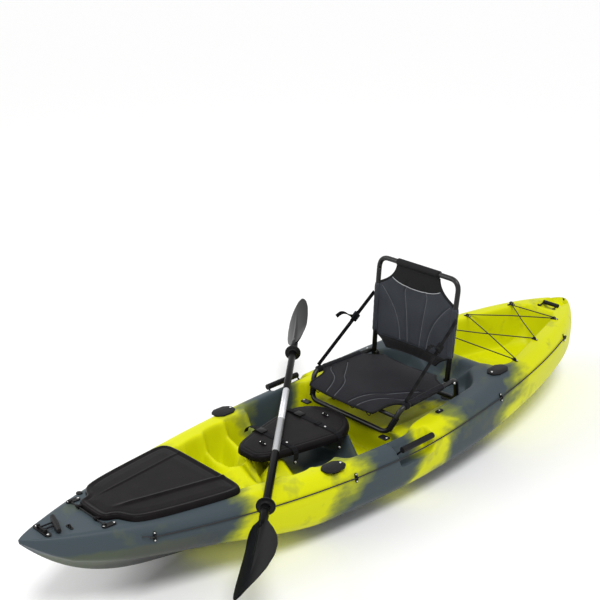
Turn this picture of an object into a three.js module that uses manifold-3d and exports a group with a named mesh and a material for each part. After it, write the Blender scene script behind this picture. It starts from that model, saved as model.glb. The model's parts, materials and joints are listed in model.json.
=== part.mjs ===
import * as THREE from 'three';
import { mergeVertices } from 'three/addons/utils/BufferGeometryUtils.js';
import Module from 'manifold-3d';

const wasm = await Module();
wasm.setup();

// Sit-on-top fishing kayak in millimetres: +X is the bow, +Y is port, +Z is up.
// The origin is on the flat of the hull's bottom, amidships.
const hullLength = 3050;
const beam = 810;
const depthAmidships = 290;
const hullWall = 6;
const paddleLength = 2400;
const shaftDiameter = 28;
const seatTubeDiameter = 22;
const cordDiameter = 5;

// Clearances that all the pieces share.
const touchGap = 0.3;
const coverGap = 0.5;
const boreGap = 0.4;
const overrun = 60;
const sink = 1;

const sides = { port: 1, starboard: -1 };
const v = (x, y, z) => new THREE.Vector3(x, y, z);
const kayak = new THREE.Group();

// Materials, with the colours and finishes of the photograph.
function finish(color, roughness, metalness) {
  return new THREE.MeshStandardMaterial({ color, roughness, metalness });
}
const mouldedHull = () => finish(0xc6cc1e, 0.45, 0);
const blackPlastic = () => finish(0x1b1b1d, 0.5, 0);
const blackRubber = () => finish(0x141414, 0.85, 0);
const blackCord = () => finish(0x101010, 0.9, 0);
const blackWebbing = () => finish(0x161618, 0.95, 0);
const seatMesh = () => finish(0x23232a, 0.95, 0);
const blackTube = () => finish(0x18181a, 0.35, 0.6);
const silverTube = () => finish(0xc9cbcf, 0.3, 0.9);

// Solids: closed meshes go in, and only joins and cuts are made on them.
function solidOf(points, triangles) {
  let volume = 0;
  for (const [a, b, c] of triangles) {
    volume += points[a].dot(new THREE.Vector3().crossVectors(points[b], points[c]));
  }
  const faces = volume < 0 ? triangles.map(([a, b, c]) => [a, c, b]) : triangles;
  const vertProperties = new Float32Array(points.flatMap((point) => point.toArray()));
  const triVerts = new Uint32Array(faces.flat());
  return new wasm.Manifold(new wasm.Mesh({ numProp: 3, vertProperties, triVerts }));
}

function solidFrom(geometry) {
  const bare = geometry.clone();
  bare.deleteAttribute('normal');
  bare.deleteAttribute('uv');
  const merged = mergeVertices(bare);
  const place = merged.attributes.position;
  const points = [];
  for (let i = 0; i < place.count; i += 1) points.push(new THREE.Vector3().fromBufferAttribute(place, i));
  const corners = Array.from(merged.index.array);
  const triangles = [];
  for (let i = 0; i < corners.length; i += 3) triangles.push(corners.slice(i, i + 3));
  return solidOf(points, triangles);
}

function geometryOf(solid) {
  const mesh = solid.getMesh();
  const geometry = new THREE.BufferGeometry();
  geometry.setAttribute('position', new THREE.BufferAttribute(new Float32Array(mesh.vertProperties), 3));
  geometry.setIndex(new THREE.BufferAttribute(new Uint32Array(mesh.triVerts), 1));
  const faceted = geometry.toNonIndexed();
  faceted.computeVertexNormals();
  return faceted;
}

function addPiece(name, shape, material, parent = kayak) {
  const geometry = shape.isBufferGeometry ? shape : geometryOf(shape);
  const piece = new THREE.Mesh(geometry, material);
  piece.name = name;
  parent.add(piece);
  return piece;
}

// Outlines: a half outline is listed from its aft end to its fore end on the port side,
// as shares of its length and of its half width, and the other half mirrors it.
function outlineFromShares(shares, aftX, foreX, halfWidth) {
  const half = shares.map(([along, across]) => [aftX + along * (foreX - aftX), across * halfWidth]);
  const mirrored = half.filter(([, y]) => y > 0).map(([x, y]) => [x, -y]);
  return [...mirrored, ...half.reverse()];
}

// The second share of a table, at a place given as the first share.
function shareAt(table, at) {
  const next = Math.max(1, table.findIndex(([place]) => place >= at));
  const [[low, from], [high, to]] = [table[next - 1], table[next]];
  return THREE.MathUtils.lerp(from, to, (at - low) / (high - low));
}

function rectangle(aftX, foreX, lowY, highY) {
  return [[aftX, lowY], [foreX, lowY], [foreX, highY], [aftX, highY]];
}

function circleOutline(x, y, radius, count) {
  return Array.from({ length: count }, (_, i) => {
    const angle = (i / count) * Math.PI * 2;
    return [x + radius * Math.cos(angle), y + radius * Math.sin(angle)];
  });
}

function grownOutline(outline, growth) {
  const count = outline.length;
  return outline.map(([x, y], i) => {
    const [beforeX, beforeY] = outline[(i + count - 1) % count];
    const [afterX, afterY] = outline[(i + 1) % count];
    const incoming = new THREE.Vector2(y - beforeY, beforeX - x).normalize();
    const outgoing = new THREE.Vector2(afterY - y, x - afterX).normalize();
    const miter = incoming.add(outgoing);
    const reach = (growth * 2) / miter.lengthSq();
    return [x + miter.x * reach, y + miter.y * reach];
  });
}

// A prism with levels from bottom to top. Each level is [z, growth of the outline, share of its size],
// and lift adds a height that depends on x.
function stack(outline, levels, lift = () => 0) {
  const contour = outline.map(([x, y]) => new THREE.Vector2(x, y));
  const upright = THREE.ShapeUtils.isClockWise(contour) ? [...outline].reverse() : outline;
  const box = new THREE.Box2().setFromPoints(contour);
  const middle = box.getCenter(new THREE.Vector2());
  const count = upright.length;
  const points = [];
  const triangles = [];
  for (const [z, growth, share = 1] of levels) {
    for (const [x, y] of grownOutline(upright, growth)) {
      const px = middle.x + (x - middle.x) * share;
      const py = middle.y + (y - middle.y) * share;
      points.push(new THREE.Vector3(px, py, z + lift(px)));
    }
  }
  for (let level = 1; level < levels.length; level += 1) {
    for (let i = 0; i < count; i += 1) {
      const next = (i + 1) % count;
      const low = (level - 1) * count;
      const high = level * count;
      triangles.push([low + i, low + next, high + next], [low + i, high + next, high + i]);
    }
  }
  const top = (levels.length - 1) * count;
  const cap = THREE.ShapeUtils.triangulateShape(upright.map(([x, y]) => new THREE.Vector2(x, y)), []);
  for (const [a, b, c] of cap) triangles.push([a, c, b], [top + a, top + b, top + c]);
  return solidOf(points, triangles);
}

// A skin through rings of equal count, with both ends closed by fans.
function loft(rings) {
  const count = rings[0].length;
  const points = rings.flat();
  const triangles = [];
  for (let ring = 1; ring < rings.length; ring += 1) {
    for (let i = 0; i < count; i += 1) {
      const next = (i + 1) % count;
      const low = (ring - 1) * count;
      const high = ring * count;
      triangles.push([low + i, low + next, high + next], [low + i, high + next, high + i]);
    }
  }
  const last = (rings.length - 1) * count;
  const middleOf = (ring) => ring.reduce((sum, p) => sum.add(p), new THREE.Vector3()).divideScalar(count);
  const startMiddle = points.push(middleOf(rings[0])) - 1;
  const endMiddle = points.push(middleOf(rings[rings.length - 1])) - 1;
  for (let i = 0; i < count; i += 1) {
    const next = (i + 1) % count;
    triangles.push([startMiddle, next, i], [endMiddle, last + i, last + next]);
  }
  return solidOf(points, triangles);
}

// A round bar between two points.
function bar(from, to, radius, count = 10, endRadius = radius) {
  const axis = new THREE.Vector3().subVectors(to, from);
  const geometry = new THREE.CylinderGeometry(endRadius, radius, axis.length(), count);
  const up = THREE.Object3D.DEFAULT_UP;
  geometry.applyQuaternion(new THREE.Quaternion().setFromUnitVectors(up, axis.normalize()));
  const middle = new THREE.Vector3().addVectors(from, to).divideScalar(2);
  geometry.translate(middle.x, middle.y, middle.z);
  return solidFrom(geometry);
}

function ball(centre, radius) {
  const geometry = new THREE.OctahedronGeometry(radius, 1);
  geometry.translate(centre.x, centre.y, centre.z);
  return solidFrom(geometry);
}

// A path whose rings stand exactly at the listed points, with each tangent halving its bend.
class RingPath extends THREE.Curve {
  constructor(points) {
    super();
    this.points = points;
  }

  getPoint(t, target = new THREE.Vector3()) {
    const place = t * (this.points.length - 1);
    const before = Math.min(Math.floor(place), this.points.length - 2);
    return target.lerpVectors(this.points[before], this.points[before + 1], place - before);
  }

  getPointAt(t, target) {
    return this.getPoint(t, target);
  }

  getTangentAt(t, target = new THREE.Vector3()) {
    const last = this.points.length - 1;
    const here = Math.round(t * last);
    const towards = (i) => new THREE.Vector3().subVectors(this.points[i + 1], this.points[i]).normalize();
    const incoming = towards(Math.max(here - 1, 0));
    const outgoing = towards(Math.min(here, last - 1));
    return target.addVectors(incoming, outgoing).normalize();
  }
}

const cordSides = 8;

function tubeAlong(points, radius, count = cordSides) {
  const rim = circleOutline(0, 0, radius, count).map(([x, y]) => new THREE.Vector2(x, y));
  const path = new RingPath(points);
  return new THREE.ExtrudeGeometry(new THREE.Shape(rim), { steps: points.length - 1, extrudePath: path });
}

// A padded sheet about a grid of middle points, with its thickness given by row and column shares.
function paddedSheet(grid, thicknessAt) {
  const rows = grid.length;
  const columns = grid[0].length;
  const faces = [[], []];
  for (let i = 0; i < rows; i += 1) {
    for (let j = 0; j < columns; j += 1) {
      const [above, below] = [grid[Math.min(i + 1, rows - 1)][j], grid[Math.max(i - 1, 0)][j]];
      const along = new THREE.Vector3().subVectors(above, below);
      const row = grid[i];
      const across = new THREE.Vector3().subVectors(row[Math.min(j + 1, columns - 1)], row[Math.max(j - 1, 0)]);
      const normal = along.cross(across).normalize();
      const reach = thicknessAt(i / (rows - 1), j / (columns - 1)) / 2;
      faces[0].push(grid[i][j].clone().addScaledVector(normal, reach));
      faces[1].push(grid[i][j].clone().addScaledVector(normal, -reach));
    }
  }
  const back = rows * columns;
  const triangles = [];
  for (let i = 0; i + 1 < rows; i += 1) {
    for (let j = 0; j + 1 < columns; j += 1) {
      const a = i * columns + j;
      const b = a + columns;
      triangles.push([a, b, b + 1], [a, b + 1, a + 1]);
      triangles.push([back + a, back + b + 1, back + b], [back + a, back + a + 1, back + b + 1]);
    }
  }
  const rim = [];
  for (let j = 0; j + 1 < columns; j += 1) rim.push(j);
  for (let i = 0; i + 1 < rows; i += 1) rim.push(i * columns + columns - 1);
  for (let j = columns - 1; j > 0; j -= 1) rim.push((rows - 1) * columns + j);
  for (let i = rows - 1; i > 0; i -= 1) rim.push(i * columns);
  rim.forEach((a, i) => {
    const b = rim[(i + 1) % rim.length];
    triangles.push([a, b, back + b], [a, back + b, back + a]);
  });
  return solidOf([...faces[0], ...faces[1]], triangles);
}

// Hull shape: plan, sheer and keel lines.
const halfLength = hullLength / 2;
const halfBeam = beam / 2;
const widestX = -100;
const noseBlunt = 3;
const bowPlanPower = 0.78;
const sternPlanPower = 0.6;
const bowRise = 62;
const bowRisePower = 1.8;
const sternRise = 60;
const sternRiseReach = 1400;
const sternRisePower = 1.3;
const bowRockerStart = 300;
const bowRockerPower = 4.27;
const sternRockerStart = 900;
const sternRockerPower = 13.5;
const sternCounterShare = 0.1525;
const stemDepth = 15;

function halfBeamAt(x) {
  const reach = x > widestX ? halfLength - widestX : halfLength + widestX;
  const share = Math.min(Math.abs(x - widestX), reach - noseBlunt) / reach;
  return halfBeam * Math.pow(1 - share * share, x > widestX ? bowPlanPower : sternPlanPower);
}

function sheerAt(x) {
  if (x > 0) return depthAmidships + bowRise * Math.pow(x / halfLength, bowRisePower);
  const share = Math.min(-x / sternRiseReach, 1);
  return depthAmidships + sternRise * Math.pow(Math.sin((share * Math.PI) / 2), sternRisePower);
}

function keelAt(x) {
  const rise = sheerAt(x) - stemDepth;
  if (x > bowRockerStart) {
    return rise * Math.pow((x - bowRockerStart) / (halfLength - bowRockerStart), bowRockerPower);
  }
  if (x > -sternRockerStart) return 0;
  const share = (-sternRockerStart - x) / (halfLength - sternRockerStart);
  const counter = sternCounterShare * share * share;
  return rise * (counter + (1 - sternCounterShare) * Math.pow(share, sternRockerPower));
}

// Hull sections: corners from the keel to the deck's middle. The underwater corners are shares of the
// half beam and of the side's height, on the flat amidships and, by the second pair, on the full vee.
const flankDepth = 68;
const flankShare = 0.45;
const gunwaleWidth = 45;
const gunwaleShare = 0.16;
const shoulderInShare = 0.25;
const shoulderUpShare = 0.6;
const bowVeeStart = 414;
const bowVeeEnd = 1043;
const sternVeeStart = 310;
const sternVeeEnd = 1279;
const sternVeeShare = 0.527;
const bilgeShares = [
  { flat: [0.27, 0], vee: [0.02, 0] },
  { flat: [0.72, 0.236], vee: [0.276, 0.285] },
  { flat: [0.9, 0.36], vee: [0.653, 0.535] },
  { flat: [0.965, 0.512], vee: [0.948, 0.679] },
];
const widestCorner = bilgeShares.length + 1;
const deckCorner = widestCorner + 2;

function veeAt(x) {
  const smooth = THREE.MathUtils.smoothstep;
  return x > 0 ? smooth(x, bowVeeStart, bowVeeEnd) : sternVeeShare * smooth(-x, sternVeeStart, sternVeeEnd);
}

function sectionRing(x, inset) {
  const wide = halfBeamAt(x);
  const top = sheerAt(x);
  const keel = keelAt(x);
  const vee = veeAt(x);
  const flank = Math.min(flankDepth, flankShare * (top - keel));
  const widestZ = top - flank;
  const gunwale = Math.min(gunwaleWidth, gunwaleShare * wide);
  const bilge = bilgeShares.map((corner) => {
    const out = THREE.MathUtils.lerp(corner.flat[0], corner.vee[0], vee);
    const up = THREE.MathUtils.lerp(corner.flat[1], corner.vee[1], vee);
    return [out * wide, keel + up * (widestZ - keel)];
  });
  const shoulder = [wide - shoulderInShare * gunwale, widestZ + shoulderUpShare * flank];
  const port = [...bilge, [wide, widestZ], shoulder, [wide - gunwale, top]];
  const starboard = [...port].reverse().map(([y, z]) => [-y, z]);
  const middleZ = (top + keel) / 2;
  const yShare = (wide - inset) / wide;
  const zShare = (top - middleZ - inset) / (top - middleZ);
  return [[0, keel], ...port, [0, top], ...starboard].map(
    ([y, z]) => new THREE.Vector3(x, y * yShare, middleZ + (z - middleZ) * zShare),
  );
}

const stationCount = 36;
const stations = Array.from({ length: stationCount + 1 }, (_, i) => {
  return halfLength * Math.sin((i / stationCount - 1 / 2) * Math.PI);
});

// A point on the hull's port skin, between one corner and the next of the sections.
function skinPoint(x, corner, share) {
  const ahead = stations.findIndex((station) => station >= x);
  const [aft, fore] = [stations[ahead - 1], stations[ahead]];
  const [low, high] = [aft, fore].map((station) => {
    const ring = sectionRing(station, 0);
    return ring[corner].clone().lerp(ring[corner + 1], share);
  });
  return low.lerp(high, (x - aft) / (fore - aft));
}

function deckAt(x) {
  return skinPoint(x, deckCorner, 1).z;
}

// Cockpit: one long well, whose floor is raised to the seat's ledges, the front step and the spine.
const cockpitAft = -655;
const cockpitFore = 745;
const cockpitHalfWidth = 322;
const wellRim = 280;
const wellDraft = 18;
const wellCorner = 12;
const footFloor = 120;
const cockpitShares = [
  [0, 0], [0.005, 0.205], [0.02, 0.404], [0.047, 0.59], [0.077, 0.73], [0.103, 0.8], [0.132, 0.826],
  [0.282, 0.857], [0.388, 0.879], [0.425, 0.96], [0.461, 1], [0.525, 0.981], [0.632, 0.953], [0.668, 0.93],
  [0.684, 0.8], [0.7, 0.82], [0.76, 0.84], [0.774, 0.79], [0.79, 0.8], [0.85, 0.77], [0.868, 0.7],
  [0.884, 0.71], [0.925, 0.67], [0.965, 0.645], [0.99, 0.63], [1, 0.6], [1, 0],
];
const cockpitOutline = outlineFromShares(cockpitShares, cockpitAft, cockpitFore, cockpitHalfWidth);

const seatLedge = 238;
const seatFloor = 205;
const seatStepX = -60;
const seatFloorAft = -610;
const seatFloorHalfWidth = 190;
const seatFloorShares = [[0, 0], [0.02, 0.5], [0.09, 0.85], [0.16, 1], [1, 1], [1, 0]];
const frontStepX = 660;
const frontStepTop = 243;
const spineTop = 245;
const spineAft = 420;
const spineHalfWidth = 70;
const stepDraft = 10;

// Foot braces: three ridges a side that fall from the gunwale to the console.
const braceFirstX = 307;
const braceSecondX = 431;
const braceThirdX = 563;
const braceXs = [braceFirstX, braceSecondX, braceThirdX];
const braceTop = 268;
const braceInnerTop = 190;
const braceOuterY = 330;
const braceInnerY = 90;
const braceAft = 34;
const braceFore = 44;
const braceCrest = 8;

function braceRidge(x, side, shrink) {
  const ring = (y, top) => [
    [x - braceAft + shrink, footFloor - overrun],
    [x - braceCrest + shrink, top - shrink],
    [x + braceCrest - shrink, top - shrink],
    [x + braceFore - shrink, footFloor - overrun],
  ].map(([px, z]) => new THREE.Vector3(px, side * y, z));
  return loft([ring(braceInnerY, braceInnerTop), ring(braceOuterY, braceTop)]);
}

// Console: a pedestal with a bin in it, under a lid whose rear end is round.
const lidRadius = 160;
const lidCentreX = 190;
const lidFore = 534;
const lidAft = lidCentreX - lidRadius;
const lidOverhang = 10;
const pedestalTop = 272;
const consoleRim = 18;
const consoleBinFloor = 150;
const binOutlineInset = lidOverhang + consoleRim;
const lidArcSteps = 6;
const lidNoseShares = [[0.7, 0.75], [0.9, 0.56], [0.97, 0.4], [1, 0.26], [1, 0]];

const lidArcShares = Array.from({ length: lidArcSteps + 1 }, (_, i) => {
  const angle = (i / lidArcSteps) * (Math.PI / 2);
  return [(1 - Math.cos(angle)) * (lidRadius / (lidFore - lidAft)), Math.sin(angle)];
});
const lidShares = [...lidArcShares, ...lidNoseShares];
const lidOutline = outlineFromShares(lidShares, lidAft, lidFore, lidRadius);
const pedestalOutline = grownOutline(lidOutline, -lidOverhang);

// Wells behind and ahead of the cockpit.
const tankAft = -1333;
const tankFore = -700;
const tankHalfWidth = 248;
const tankFloor = 160;
const tankShares = [
  [0, 0], [0, 0.14], [0.013, 0.27], [0.045, 0.36], [0.1, 0.428], [0.48, 0.71], [0.842, 0.975], [0.88, 1],
  [0.93, 0.96], [0.976, 0.83], [1, 0.7], [1, 0],
];
const tankOutline = outlineFromShares(tankShares, tankAft, tankFore, tankHalfWidth);
const bucketX = -880;
const bucketRadius = 152;
const bucketFloor = 130;

const binAft = 764;
const binFore = 1150;
const binHalfWidth = 203;
const binFloor = 190;
const binShares = [[0, 0], [0, 0.8], [0.12, 1], [0.9, 0.69], [1, 0.3], [1, 0]];
const binOutline = outlineFromShares(binShares, binAft, binFore, binHalfWidth);

const scoopAft = -1580;
const scoopFore = -1360;
const scoopHalfWidth = 50;
const scoopFloor = 322;
const scoopShares = [[0, 0], [0, 1], [0.93, 1], [0.985, 0.8], [1, 0.4], [1, 0]];
const scoopOutline = outlineFromShares(scoopShares, scoopAft, scoopFore, scoopHalfWidth);

// Notches in the gunwales that the side handles lie in.
const notchAft = -115;
const notchFore = 80;
const notchInner = 346;
const notchFloor = 205;

// Rod pockets, each a blind tube that leans with its top away from the paddler's seat.
const rodPocketRadius = 23;
const rearPocketX = -677;
const rearPocketY = 266;
const rearPocketDepth = 150;
const rearPocketLean = 70;
const frontPocketX = 375;
const frontPocketY = 326;
const frontPocketDepth = 110;
const frontPocketLean = -35;
const rodPockets = {
  rear: { x: rearPocketX, y: rearPocketY, depth: rearPocketDepth, lean: rearPocketLean },
  front: { x: frontPocketX, y: frontPocketY, depth: frontPocketDepth, lean: frontPocketLean },
};

// Drains: one vent into the hull beside the bow hatch, and two scuppers behind the seat.
const ventX = 1193;
const ventY = -146;
const ventRadius = 8;
const scupperX = -511;
const scupperY = 123;
const scupperRadius = 21;
const holeSides = 12;

function rodPocket(pocket, side, grow) {
  const top = new THREE.Vector3(pocket.x, side * pocket.y, deckAt(pocket.x));
  const down = new THREE.Vector3(pocket.lean, 0, -pocket.depth);
  const bottom = top.clone().add(down).addScaledVector(down.clone().normalize(), grow);
  const above = top.clone().addScaledVector(down.clone().normalize(), -overrun);
  return bar(above, bottom, rodPocketRadius + grow, holeSides);
}

// All that is cut out of the hull, grown by the wall where the hull's inner cavity is cut.
function wells(grow) {
  const well = (outline, floor, draft = wellDraft) => stack(outline, [
    [floor - grow, grow - draft - wellCorner],
    [floor - grow + wellCorner, grow - draft],
    [wellRim, grow],
    [wellRim + overrun * 2, grow],
  ]);
  const raised = (outline, top, draft = stepDraft) => stack(outline, [
    [footFloor - overrun, draft - grow],
    [top - grow, -grow],
  ]);
  let space = well(cockpitOutline, footFloor);
  const ledge = rectangle(cockpitAft - overrun, seatStepX, -halfBeam, halfBeam);
  const frontStep = rectangle(frontStepX, cockpitFore + overrun, -halfBeam, halfBeam);
  const spine = rectangle(spineAft, frontStepX + overrun, -spineHalfWidth, spineHalfWidth);
  space = space.subtract(raised(ledge, seatLedge));
  space = space.subtract(raised(frontStep, frontStepTop));
  space = space.subtract(raised(spine, spineTop));
  space = space.subtract(raised(pedestalOutline, pedestalTop));
  for (const side of Object.values(sides)) {
    for (const x of braceXs) space = space.subtract(braceRidge(x, side, grow));
  }
  const seatFloorFore = seatStepX + overrun;
  const seatFloorOutline = outlineFromShares(seatFloorShares, seatFloorAft, seatFloorFore, seatFloorHalfWidth);
  space = space.add(stack(seatFloorOutline, [[seatFloor - grow, grow - stepDraft], [seatLedge + sink, grow]]));
  space = space.add(well(grownOutline(lidOutline, -binOutlineInset), consoleBinFloor, stepDraft));
  space = space.add(well(tankOutline, tankFloor));
  const bucket = circleOutline(bucketX, 0, bucketRadius, holeSides * 2);
  space = space.add(stack(bucket, [[bucketFloor - grow, grow - stepDraft], [tankFloor + sink, grow]]));
  space = space.add(well(binOutline, binFloor, stepDraft));
  space = space.add(stack(scoopOutline, [[scoopFloor - grow, grow], [scoopFloor + overrun, grow]]));
  for (const side of Object.values(sides)) {
    const notch = rectangle(notchAft, notchFore, notchInner, halfBeam + overrun);
    const placed = side > 0 ? notch : notch.map(([x, y]) => [x, -y]);
    space = space.add(stack(placed, [[notchFloor - grow, grow], [wellRim + overrun, grow]]));
    for (const pocket of Object.values(rodPockets)) space = space.add(rodPocket(pocket, side, grow));
    const under = new THREE.Vector3(scupperX, side * scupperY, -overrun);
    const over = new THREE.Vector3(scupperX, side * scupperY, seatFloor + sink);
    space = space.add(bar(under, over, scupperRadius + grow, holeSides));
  }
  return space;
}

function hullSolid() {
  const outer = loft(stations.map((x) => sectionRing(x, 0)));
  const innerStations = stations.filter((x, i) => i % 2 === 0 && Math.abs(x) < halfLength - hullWall * 2);
  const cavity = loft(innerStations.map((x) => sectionRing(x, hullWall)));
  const vent = bar(
    new THREE.Vector3(ventX, ventY, deckAt(ventX) - overrun),
    new THREE.Vector3(ventX, ventY, deckAt(ventX) + overrun),
    ventRadius,
    holeSides,
  );
  return outer.subtract(wells(0)).subtract(cavity.subtract(wells(hullWall))).subtract(vent);
}
addPiece('hull', hullSolid(), mouldedHull());

// Seats on the hull: a point on the flat deck, and the frame of the flank under the gunwale.
function deckNormal(x) {
  const slope = (deckAt(x + gunwaleWidth) - deckAt(x - gunwaleWidth)) / (gunwaleWidth * 2);
  return new THREE.Vector3(-slope, 0, 1).normalize();
}

function deckPoint(x, y) {
  return new THREE.Vector3(x, y, deckAt(x));
}

function flankFrame(x, side) {
  const place = (px, corner, share) => skinPoint(px, corner, share).multiply(new THREE.Vector3(1, side, 1));
  const middleShare = 1 / 2;
  const at = place(x, widestCorner, middleShare);
  const ahead = place(x + hullWall, widestCorner, middleShare);
  const along = ahead.sub(place(x - hullWall, widestCorner, middleShare)).normalize();
  const up = place(x, widestCorner, 1).sub(place(x, widestCorner, 0)).normalize();
  const normal = side > 0 ? up.cross(along) : along.clone().cross(up);
  return { at, along, normal: normal.normalize() };
}

// Turns a piece's own X to a direction and its own Z to a normal, and sets it down at a point.
function seat(piece, at, normal, along) {
  const z = normal.clone().normalize();
  const y = new THREE.Vector3().crossVectors(z, along).normalize();
  const x = new THREE.Vector3().crossVectors(y, z);
  piece.quaternion.setFromRotationMatrix(new THREE.Matrix4().makeBasis(x, y, z));
  piece.position.copy(at);
  return piece;
}

// Pad eyes: an oval base across the cord, with an arch that the cord passes under.
const eyeBaseLength = 38;
const eyeBaseWidth = 13;
const eyeBaseThickness = 3;
const eyeHoleRadius = 5;
const eyeBand = 4;
const eyeDepth = 5;
const eyeLeg = 1;
const eyeCordHeight = eyeBaseThickness + boreGap + cordDiameter / 2;
const eyeReach = 4;

function stadium(length, width) {
  const end = width / 2;
  const straight = (length - width) / 2;
  const shape = new THREE.Shape();
  shape.absarc(0, straight, end, 0, Math.PI);
  shape.absarc(0, -straight, end, Math.PI, Math.PI * 2);
  return shape;
}

function plate(shape, thickness, curveSegments = 3) {
  return new THREE.ExtrudeGeometry(shape, { depth: thickness, bevelEnabled: false, curveSegments });
}

function padEyeSolid() {
  const outer = eyeHoleRadius + eyeBand;
  const foot = eyeLeg + sink;
  const arch = new THREE.Shape();
  arch.moveTo(outer, -foot);
  arch.absarc(0, 0, outer, 0, Math.PI);
  arch.lineTo(-outer, -foot);
  arch.lineTo(-eyeHoleRadius, -foot);
  arch.absarc(0, 0, eyeHoleRadius, Math.PI, 0, true);
  arch.lineTo(eyeHoleRadius, -foot);
  const band = plate(arch, eyeDepth);
  band.translate(0, 0, -eyeDepth / 2);
  const upright = new THREE.Matrix4().makeBasis(
    new THREE.Vector3(0, 1, 0),
    new THREE.Vector3(0, 0, 1),
    new THREE.Vector3(1, 0, 0),
  );
  band.applyMatrix4(upright);
  band.translate(0, 0, eyeBaseThickness + eyeLeg);
  return solidFrom(plate(stadium(eyeBaseLength, eyeBaseWidth), eyeBaseThickness)).add(solidFrom(band));
}
const padEye = geometryOf(padEyeSolid());

function addPadEye(name, at, normal, along, parent = kayak) {
  const piece = addPiece(name, padEye, blackPlastic(), parent);
  return seat(piece, at.clone().addScaledVector(normal, touchGap), normal, along);
}

function eyeHole(at, normal) {
  return at.clone().addScaledVector(normal, touchGap + eyeCordHeight);
}

// Side lines: a cord through four pad eyes on each flank, knotted outside the end eyes.
const sideEyeShares = { stern: -0.7974, aft: -0.3731, fore: 0.2013, bow: 0.7351 };
const sideEyeNames = Object.keys(sideEyeShares);
const sideEyeXs = Object.values(sideEyeShares).map((share) => share * halfLength);
const lineClearance = 0.8;
const knotReach = 14;
const knotRadius = 5;

function sideLineRoute(side) {
  const away = (frame, along, out) => {
    return frame.at.clone().addScaledVector(frame.along, along).addScaledVector(frame.normal, out);
  };
  const eyeOut = touchGap + eyeCordHeight;
  const lineOut = cordDiameter / 2 + lineClearance;
  const first = sideEyeXs[0];
  const last = sideEyeXs[sideEyeXs.length - 1];
  const points = [away(flankFrame(first, side), -knotReach, eyeOut)];
  sideEyeXs.forEach((x, i) => {
    const frame = flankFrame(x, side);
    points.push(away(frame, -eyeReach, eyeOut), away(frame, eyeReach, eyeOut));
    const next = sideEyeXs[i + 1] ?? x;
    const between = stations.filter((station) => station > x + eyeBaseLength && station < next - eyeBaseLength);
    for (const station of between) points.push(away(flankFrame(station, side), 0, lineOut));
  });
  points.push(away(flankFrame(last, side), knotReach, eyeOut));
  return points;
}

for (const [word, side] of Object.entries(sides)) {
  sideEyeXs.forEach((x, i) => {
    const { at, along, normal } = flankFrame(x, side);
    addPadEye(`side_line_eye_${sideEyeNames[i]}_${word}`, at, normal, along);
  });
  const route = sideLineRoute(side);
  const knots = [route[0], route[route.length - 1]].map((end) => ball(end, knotRadius));
  const line = solidFrom(tubeAlong(route, cordDiameter / 2)).add(knots[0]).add(knots[1]);
  addPiece(`side_line_${word}`, line, blackCord());
}

// Tank well bungee: laced through six pad eyes and tied off at the stern eye on the starboard side.
const tankEyeShares = { front: [0.839, 1.056], middle: [0.482, 0.794], stern: [0.0964, 0.512] };
const crossingLift = 4;
const lacing = [
  ['stern', 1, crossingLift], ['middle', -1, crossingLift], ['front', 1, 0], ['front', -1, -crossingLift],
  ['middle', 1, -crossingLift],
];
const tailHeading = new THREE.Vector3(-0.55, -0.83, 0).normalize();
const tieReach = 18;

function laced(start, stops, end) {
  const holes = [start, ...stops.map((stop) => stop.hole), end];
  const points = [start];
  const headings = stops.map((stop, i) => {
    const incoming = new THREE.Vector3().subVectors(holes[i + 1], holes[i]).normalize();
    const outgoing = new THREE.Vector3().subVectors(holes[i + 2], holes[i + 1]).normalize();
    const heading = incoming.add(outgoing).setZ(0).normalize();
    const reach = stop.reach ?? eyeReach;
    points.push(stop.hole.clone().addScaledVector(heading, -reach));
    points.push(stop.hole.clone().addScaledVector(heading, reach));
    if (stop.lift) {
      const middle = new THREE.Vector3().lerpVectors(holes[i + 1], holes[i + 2], 1 / 2);
      points.push(middle.setZ(middle.z + stop.lift));
    }
    return heading;
  });
  points.push(end);
  return { points, headings };
}

function tankEyeAt(row, side) {
  const [along, across] = tankEyeShares[row];
  return deckPoint(tankAft + along * (tankFore - tankAft), side * across * tankHalfWidth);
}

const tankStops = lacing.map(([row, side, lift]) => {
  const at = tankEyeAt(row, side);
  const normal = deckNormal(at.x);
  const name = `tank_eye_${row}_${side > 0 ? 'port' : 'starboard'}`;
  return { name, at, normal, hole: eyeHole(at, normal), lift };
});
const tieAt = tankEyeAt('stern', -1);
const tieNormal = deckNormal(tieAt.x);
const tieHole = eyeHole(tieAt, tieNormal);
const tankTie = tieHole.clone().addScaledVector(tailHeading, -tieReach);
const tankLacing = laced(tankTie, tankStops, tankTie);
tankStops.forEach((stop, i) => addPadEye(stop.name, stop.at, stop.normal, tankLacing.headings[i]));
addPadEye('tank_eye_stern_starboard', tieAt, tieNormal, tailHeading);

function tiedCord(points, tie, tailEnd, diameter) {
  const loop = solidFrom(tubeAlong(points, diameter / 2));
  const tail = bar(tie, tailEnd, diameter / 2, cordSides);
  return loop.add(tail).add(ball(tie, knotRadius)).add(ball(tailEnd, knotRadius));
}
const tankTail = tieHole.clone().addScaledVector(tailHeading, knotReach);
addPiece('tank_bungee', tiedCord(tankLacing.points, tankTie, tankTail, cordDiameter), blackCord());

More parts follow.
